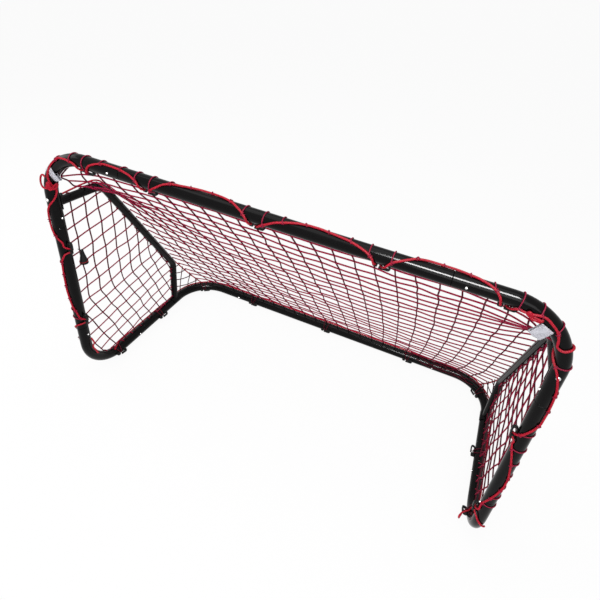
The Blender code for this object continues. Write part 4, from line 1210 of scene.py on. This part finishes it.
def side_panel(name, hand, shift):
    """Makes one side panel, and gives the heights at which its strands reach the upright"""
    arm, x = arms[hand], hand * HALF
    borders, step_length = {ARM: [], SEEN: []}, 0.006
    for route, radius, stop in ((arm, ARM, arm.length), (ground, SEEN, ground.mark(2, 1))):
        for step in range(int(stop / step_length)):
            point, _, inward, face = route.at(step * step_length)
            side = inward if route is arm else face
            borders[radius].append((point.y, point.z, side.y, side.z))

    def inside(y, z):
        """Whether a place lies between the arm and the ground frame"""
        for radius, border in borders.items():
            near = min(border, key=lambda item: (item[0] - y) ** 2 + (item[1] - z) ** 2)
            if (y - near[0]) * near[2] + (z - near[1]) * near[3] <= radius:
                return False
        return True

    def clipped(strand):
        """The run of a strand inside the borders, with its ends drawn out to them"""
        points = smooth_path(strand, 0.008)
        flags = [inside(point.y, point.z) for point in points]
        if not any(flags):
            return []
        first, last = flags.index(True), len(flags) - 1 - flags[::-1].index(True)
        run = points[max(0, first - 1) : last + 2]
        return run if len(run) > 3 else []

    knots = {}
    for column in SIDE_COLUMNS:
        for row in SIDE_ROWS:
            y = -0.2
            for _ in range(6):
                z = side_row(row, y, shift)
                y = side_column(column, z, shift)
            knots[column, row] = shaken(Vector((x, y, z)), 0.0025)
    hanging = [clipped([knots[column, row] for row in SIDE_ROWS]) for column in SIDE_COLUMNS]
    level_lines = [clipped([knots[column, row] for column in SIDE_COLUMNS]) for row in SIDE_ROWS]
    hanging, level_lines = ([line for line in kind if line] for kind in (hanging, level_lines))
    inner = [point for point in knots.values() if inside(point.y, point.z)]
    spots = [arm.length * step / 160 for step in range(160)]
    on_arm = [(spot, arm.at(spot)[0]) for spot in spots]
    posts, wraps = [], []
    for line in hanging + level_lines:
        for end in (line[0], line[-1]):
            spot, point = min(on_arm, key=lambda item: (item[1] - end).length)
            if (point - end).length < ARM + 0.006 and 0.03 < spot < arm.mark(4, 0.7):
                turns = range(0, 181, 20)
                wraps.append([arm.around(spot, hand * degrees, ARM + TWINE) for degrees in turns])
            elif end.y < FRONT + SEEN + 0.006 and end.z > 0.17:
                posts.append(end.z)
    # On the right the hanging strands catch the light and the level ones lie in shade, and on the left
    # it is the other way round; the shaded set is drawn in the twine with painted shade
    lit_strand_set, shaded_strand_set = (hanging, level_lines) if hand > 0 else (level_lines, hanging)
    net = ([f"{name}_net"], "twine")
    cords(f"{name}_net_lit_strands", lit_strand_set, STRAND, twine_red, 1, *net, add_knots(inner))
    cords(f"{name}_net_painted_shade_strands", shaded_strand_set, STRAND, twine_with_painted_shade, 1, *net)
    for spot in foot_spots(hand):
        wraps.append([ground.around(spot, degrees, SEEN + TWINE) for degrees in range(80, 161, 16)])
    cords(f"{name}_tube_ties", wraps, TWINE, twine_red, 1, slot="twine")
    print(f"{name} side panel: {len(inner)} knots, {len(wraps)} ties, {len(posts)} on the upright")
    return sorted(posts)


posts = {hand: side_panel(name, hand, RIGHT_SHIFT if hand > 0 else 0) for name, hand in SIDES}

# %% [markdown]
# ## The corner behind each arm
# Behind the foot of each arm the net goes on to the seam cord. It is a small triangle between the arm,
# the seam and the bent corner of the ground frame.

# %% Fill the corners behind the arms
for name, hand in SIDES:
    arm, knee, low = arms[hand], knees[hand], back_low(hand)
    knee_point = arm.around(knee, 180, OVER_ARM)
    route_foot = ground.mark(2, 0) + FOOT_Y - FRONT - CORNER
    corner_spot = REAR_MIDDLE - REAR_TIE
    lines = []
    for share in (0.16, 0.38, 0.60, 0.82):
        near = arm.around(knee + (arm.length - knee - 0.02) * share, 180 - hand * 40, ARM + TWINE)
        far = knee_point.lerp(low, share * 1.04)
        shares = (0, 0.25, 0.5, 0.75, 1)
        lines.append([near.lerp(far, t) - Z * 0.008 * math.sin(math.pi * t) for t in shares])
    for share in (0.30, 0.58, 0.82):
        spot = route_foot + (corner_spot - route_foot) * share
        spot = spot if hand < 0 else ground.length - spot
        top, end = knee_point.lerp(low, share * 0.92), ground.around(spot, 108, SEEN + TWINE)
        strand = [shaken(top.lerp(end, t), 0.002 if 0 < t < 1 else 0) for t in (0, 0.33, 0.66, 1)]
        lines.append(smooth_path(strand, 0.012))
    # These strands use the twine with painted shade
    cords(f"{name}_rear_corner_net", lines, STRAND * 0.9, twine_with_painted_shade, 1, slot="twine")
loose = []
for step in range(7):
    start, reach = ground.mark(4, 0.80) + 0.030 * step, SEEN + TWINE * (1.2 + step % 3)
    swing = [62 + 46 * math.sin(step * 1.7 + t * 0.9) for t in range(5)]
    loose.append(beside(ground, [(start + 0.045 * t, swing[t], reach) for t in range(5)]))
# The loose strands use the twine with painted shade
cords("rear_corner_loose_strands", loose, TWINE, twine_with_painted_shade, 1, slot="twine")
print("rear corners: 2")

# %% [markdown]
# ## The ties on the tubes
# At every mesh a strand of the net goes over the tube from behind and loops round the border rope.
# These ties are what holds the net up, and they are the thin red lines across the black tubes in the
# photograph.

# %% Tie the net to the border rope
RIGHT_CORNER_TIE, LAST_CLIMB = 2.262, 0.85
RIGHT_POST_TIES = (2.345, 2.400, 2.452, 2.504, 2.566, 2.618, 2.676, 2.730, 2.780, 2.824, 2.874)


def loop_round(route, distance):
    """A small ring of twine round the rope"""
    before, here, after = (
        route.around(distance + d, *lie_at(mouth_turns, distance + d)) for d in (-0.002, 0, 0.002)
    )
    turn = Matrix.Translation(here) @ facing(after - before)
    size = ROPE + TWINE * 0.8
    angles = [math.tau * step / 10 for step in range(13)]
    return [turn @ Vector((size * math.cos(a), size * math.sin(a), 0.001 * a)) for a in angles]


def tie(route, distance, start):
    """A strand from start degrees, round the back of the tube, to the rope"""
    degrees, reach = lie_at(mouth_turns, distance)
    goal = degrees % 360 - 360
    if goal > start - 40:
        return None
    count = max(4, round((start - goal) / 15))
    lean = chance.uniform(-0.004, 0.004)
    out = []
    for step in range(count + 1):
        share = step / count
        rise = TWINE
        if share >= LAST_CLIMB:
            rise += (reach - ROPE - SEEN + 0.001) * (share - LAST_CLIMB) / 0.15
        along = distance + lean * math.sin(math.pi * share)
        out.append(route.around(along, start + (goal - start) * share, SEEN + rise))
    return out


ties = [(spot, BEHIND) for spot in (*TIES, RIGHT_CORNER_TIE)]
ties += [(z - POST_FOOT, -90) for z in posts[-1] if z > POST_FOOT + 0.02]
ties += [(spot, -90) for spot in RIGHT_POST_TIES]
lines = []
for distance, start in ties:
    strand = tie(mouth, distance, start)
    if strand:
        lines += [strand, loop_round(mouth, distance)]
cords("mouth_ties", lines, TWINE * 1.05, twine_red, 1, slot="twine")
print("ties on the mouth:", len(lines) // 2)

# %% [markdown]
# ## Seam cords
# A bright cord laces the back panel to each arm. It starts behind the upright, follows the outer top
# of the arm, and leaves it at the knee for the rear corner.

# %% Lay the seam cords
SEAM = 0.0028
for name, hand in SIDES:
    arm, start = arms[hand], SEAT + 0.012
    points = []
    for step in range(31):
        spot = start + (arm.mark(2, 1) - SEAT - 0.012) * step / 30
        slack = 0.007 * math.sin(math.pi * min(1, step / 9))
        degrees = 180 - hand * 30 + 9 * math.sin(step * 2.1)
        points.append(arm.around(spot, degrees, ARM + 0.0030 + 0.0004 + slack))
    end = ground.around(REAR_MIDDLE + hand * REAR_TIE, 112, SEEN + SEAM)
    knee, sag = points[-1], Vector((0, 0.3, -1)) * 0.012
    points += [knee.lerp(end, share) + sag * math.sin(math.pi * share) for share in (0.33, 0.66)]
    line = smooth_path([*points, end], 0.006)
    cords(f"{name}_seam_braid", [line], SEAM, rope_red, 2, [f"{name}_seam_cord"], "rope")
    print(f"{name} seam cord: {length_of(line):.2f} m")

# %% [markdown]
# ## The cloth tabs
# A short strip of pale satin is sewn to each top corner of the net. It is folded double, hangs
# inside the bend of the tube, and curls a little. A grid is bent in code, and a Solidify gives it
# the thickness of webbing.

# %% Make the tabs
cloth, tree, surface = material("Pale satin cloth")
surface.inputs["Roughness"].default_value = 0.42
surface.inputs["Specular IOR Level"].default_value = 0.4
uv = node(tree, "ShaderNodeTexCoord")
weave = node(tree, "ShaderNodeTexWave", Scale=26.0, Distortion=0.4, bands_direction="Y")
# Large noise darkens the pale satin in broad patches, from 0.74 down to 0.30: painted shade of its
# folds
fold_shade_noise = node(tree, "ShaderNodeTexNoise", Scale=3.0, Detail=2.0)
fold_shade_mix = node(tree, "ShaderNodeMix", data_type="RGBA")
fold_shade_mix.inputs["A"].default_value = (0.30, 0.30, 0.35, 1)
fold_shade_mix.inputs["B"].default_value = (0.74, 0.74, 0.80, 1)
lift = node(tree, "ShaderNodeBump", Strength=0.25, Distance=0.0003)
wire(
    tree,
    (uv, "UV", weave, "Vector"),
    (uv, "UV", fold_shade_noise, "Vector"),
    (fold_shade_noise, "Fac", fold_shade_mix, "Factor"),
    (fold_shade_mix, "Result", surface, "Base Color"),
    (weave, "Fac", lift, "Height"),
    (lift, "Normal", surface, "Normal"),
)

TAB_LONG, FOLD_AT, FOLD_SHARE, FOLD_END, FOLD = 0.092, 0.42, 0.16, 0.58, 0.0047
# Of each side: width, shift inwards, part of the mouth, share of that part, tilt in degrees
TAB_PLACES = {-1: (0.024, -0.008, 1, 0.46, -26), 1: (0.032, 0.006, 3, 0.40, 10)}
for name, hand in SIDES:
    TAB_WIDTH, start_in, part, spot, degrees = TAB_PLACES[hand]
    point, heading, inward, face = mouth.at(mouth.mark(part, spot))
    tilt = Matrix.Rotation(math.radians(degrees), 3, face)
    heading, inward = tilt @ heading, tilt @ inward
    bm = bmesh.new()
    bmesh.ops.create_grid(bm, x_segments=10, y_segments=24, size=0.5, calc_uvs=True)
    uv_layer = bm.loops.layers.uv.verify()
    for grid_face in bm.faces:
        for loop in grid_face.loops:
            loop[uv_layer].uv = (loop.vert.co.x + 0.5, loop.vert.co.y + 0.5)
    for vert in bm.verts:
        across, share = vert.co.x * TAB_WIDTH, vert.co.y + 0.5
        fold = math.pi * min(1, max(0, (share - FOLD_AT) / FOLD_SHARE))
        returned = max(0, share - FOLD_END)
        down = TAB_LONG * min(share, FOLD_AT) + FOLD * math.sin(fold) - TAB_LONG * returned
        back = FOLD * (1 - math.cos(fold)) + 0.006 * returned
        curl = 0.010 * max(0, down / TAB_LONG / FOLD_AT - 0.35) ** 1.5
        wave = 0.0016 * math.sin(vert.co.x * 7 + share * 5) * min(1, down / 0.02)
        lift_off = SEEN + 0.0012 - curl - back + wave
        spot = point + heading * across * (1 - 0.15 * share) + inward * (down + start_in)
        vert.co = spot + face * lift_off
    tab = piece(f"{name}_tab_cloth", bm, cloth, [f"{name}_corner_tab"], sharp=180)
    thick = tab.modifiers.new("Cloth thickness", "SOLIDIFY")
    thick.thickness, thick.offset = 0.0007, 0
print("tabs: 2")

# %% [markdown]
# ## The spare clip
# One loose net clip hangs in the left panel by its stem. It is a hollow bell of black plastic with
# a flared rim and a red thread round its foot.

# %% Make the spare clip
pivot = Vector((-0.713, -0.2898, 0.56266))
bell = [(0, 0.0046), (0.0030, 0.0040), (0.0046, 0.0022), (0.0050, 0), (0.0056, -0.0060)]
bell += [(0.0074, -0.0160), (0.0098, -0.0270), (0.0122, -0.0380), (0.0134, -0.0450)]
bell += [(0.0140, -0.0470), (0.0140, -0.0490), (0.0134, -0.0500), (0.0122, -0.0500)]
bell += [(0.0116, -0.0480), (0.0104, -0.0380), (0.0080, -0.0270), (0.0056, -0.0160), (0, -0.0120)]
bm = bmesh.new()
turned(bm, bell, Matrix.Translation(pivot))
rod(bm, 0.0017, 0.0164, Matrix.Translation(pivot - X * 0.0082) @ facing(-X), 20, 0.0014)
piece("spare_clip_bell", bm, plastic, ["spare_net_clip"], "spare_clip_body")
angles = [math.tau * step / 36 for step in range(37)]
ring = [
    pivot + Vector((0.0132 * math.cos(a), 0.0132 * math.sin(a), -0.0405 + 0.0015 * math.sin(a)))
    for a in angles
]
cords("spare_clip_thread", [ring], 0.0008, rope_red, 1, slot="rope", body="spare_clip_body")
print("spare clip hangs from", [round(value, 3) for value in pivot])
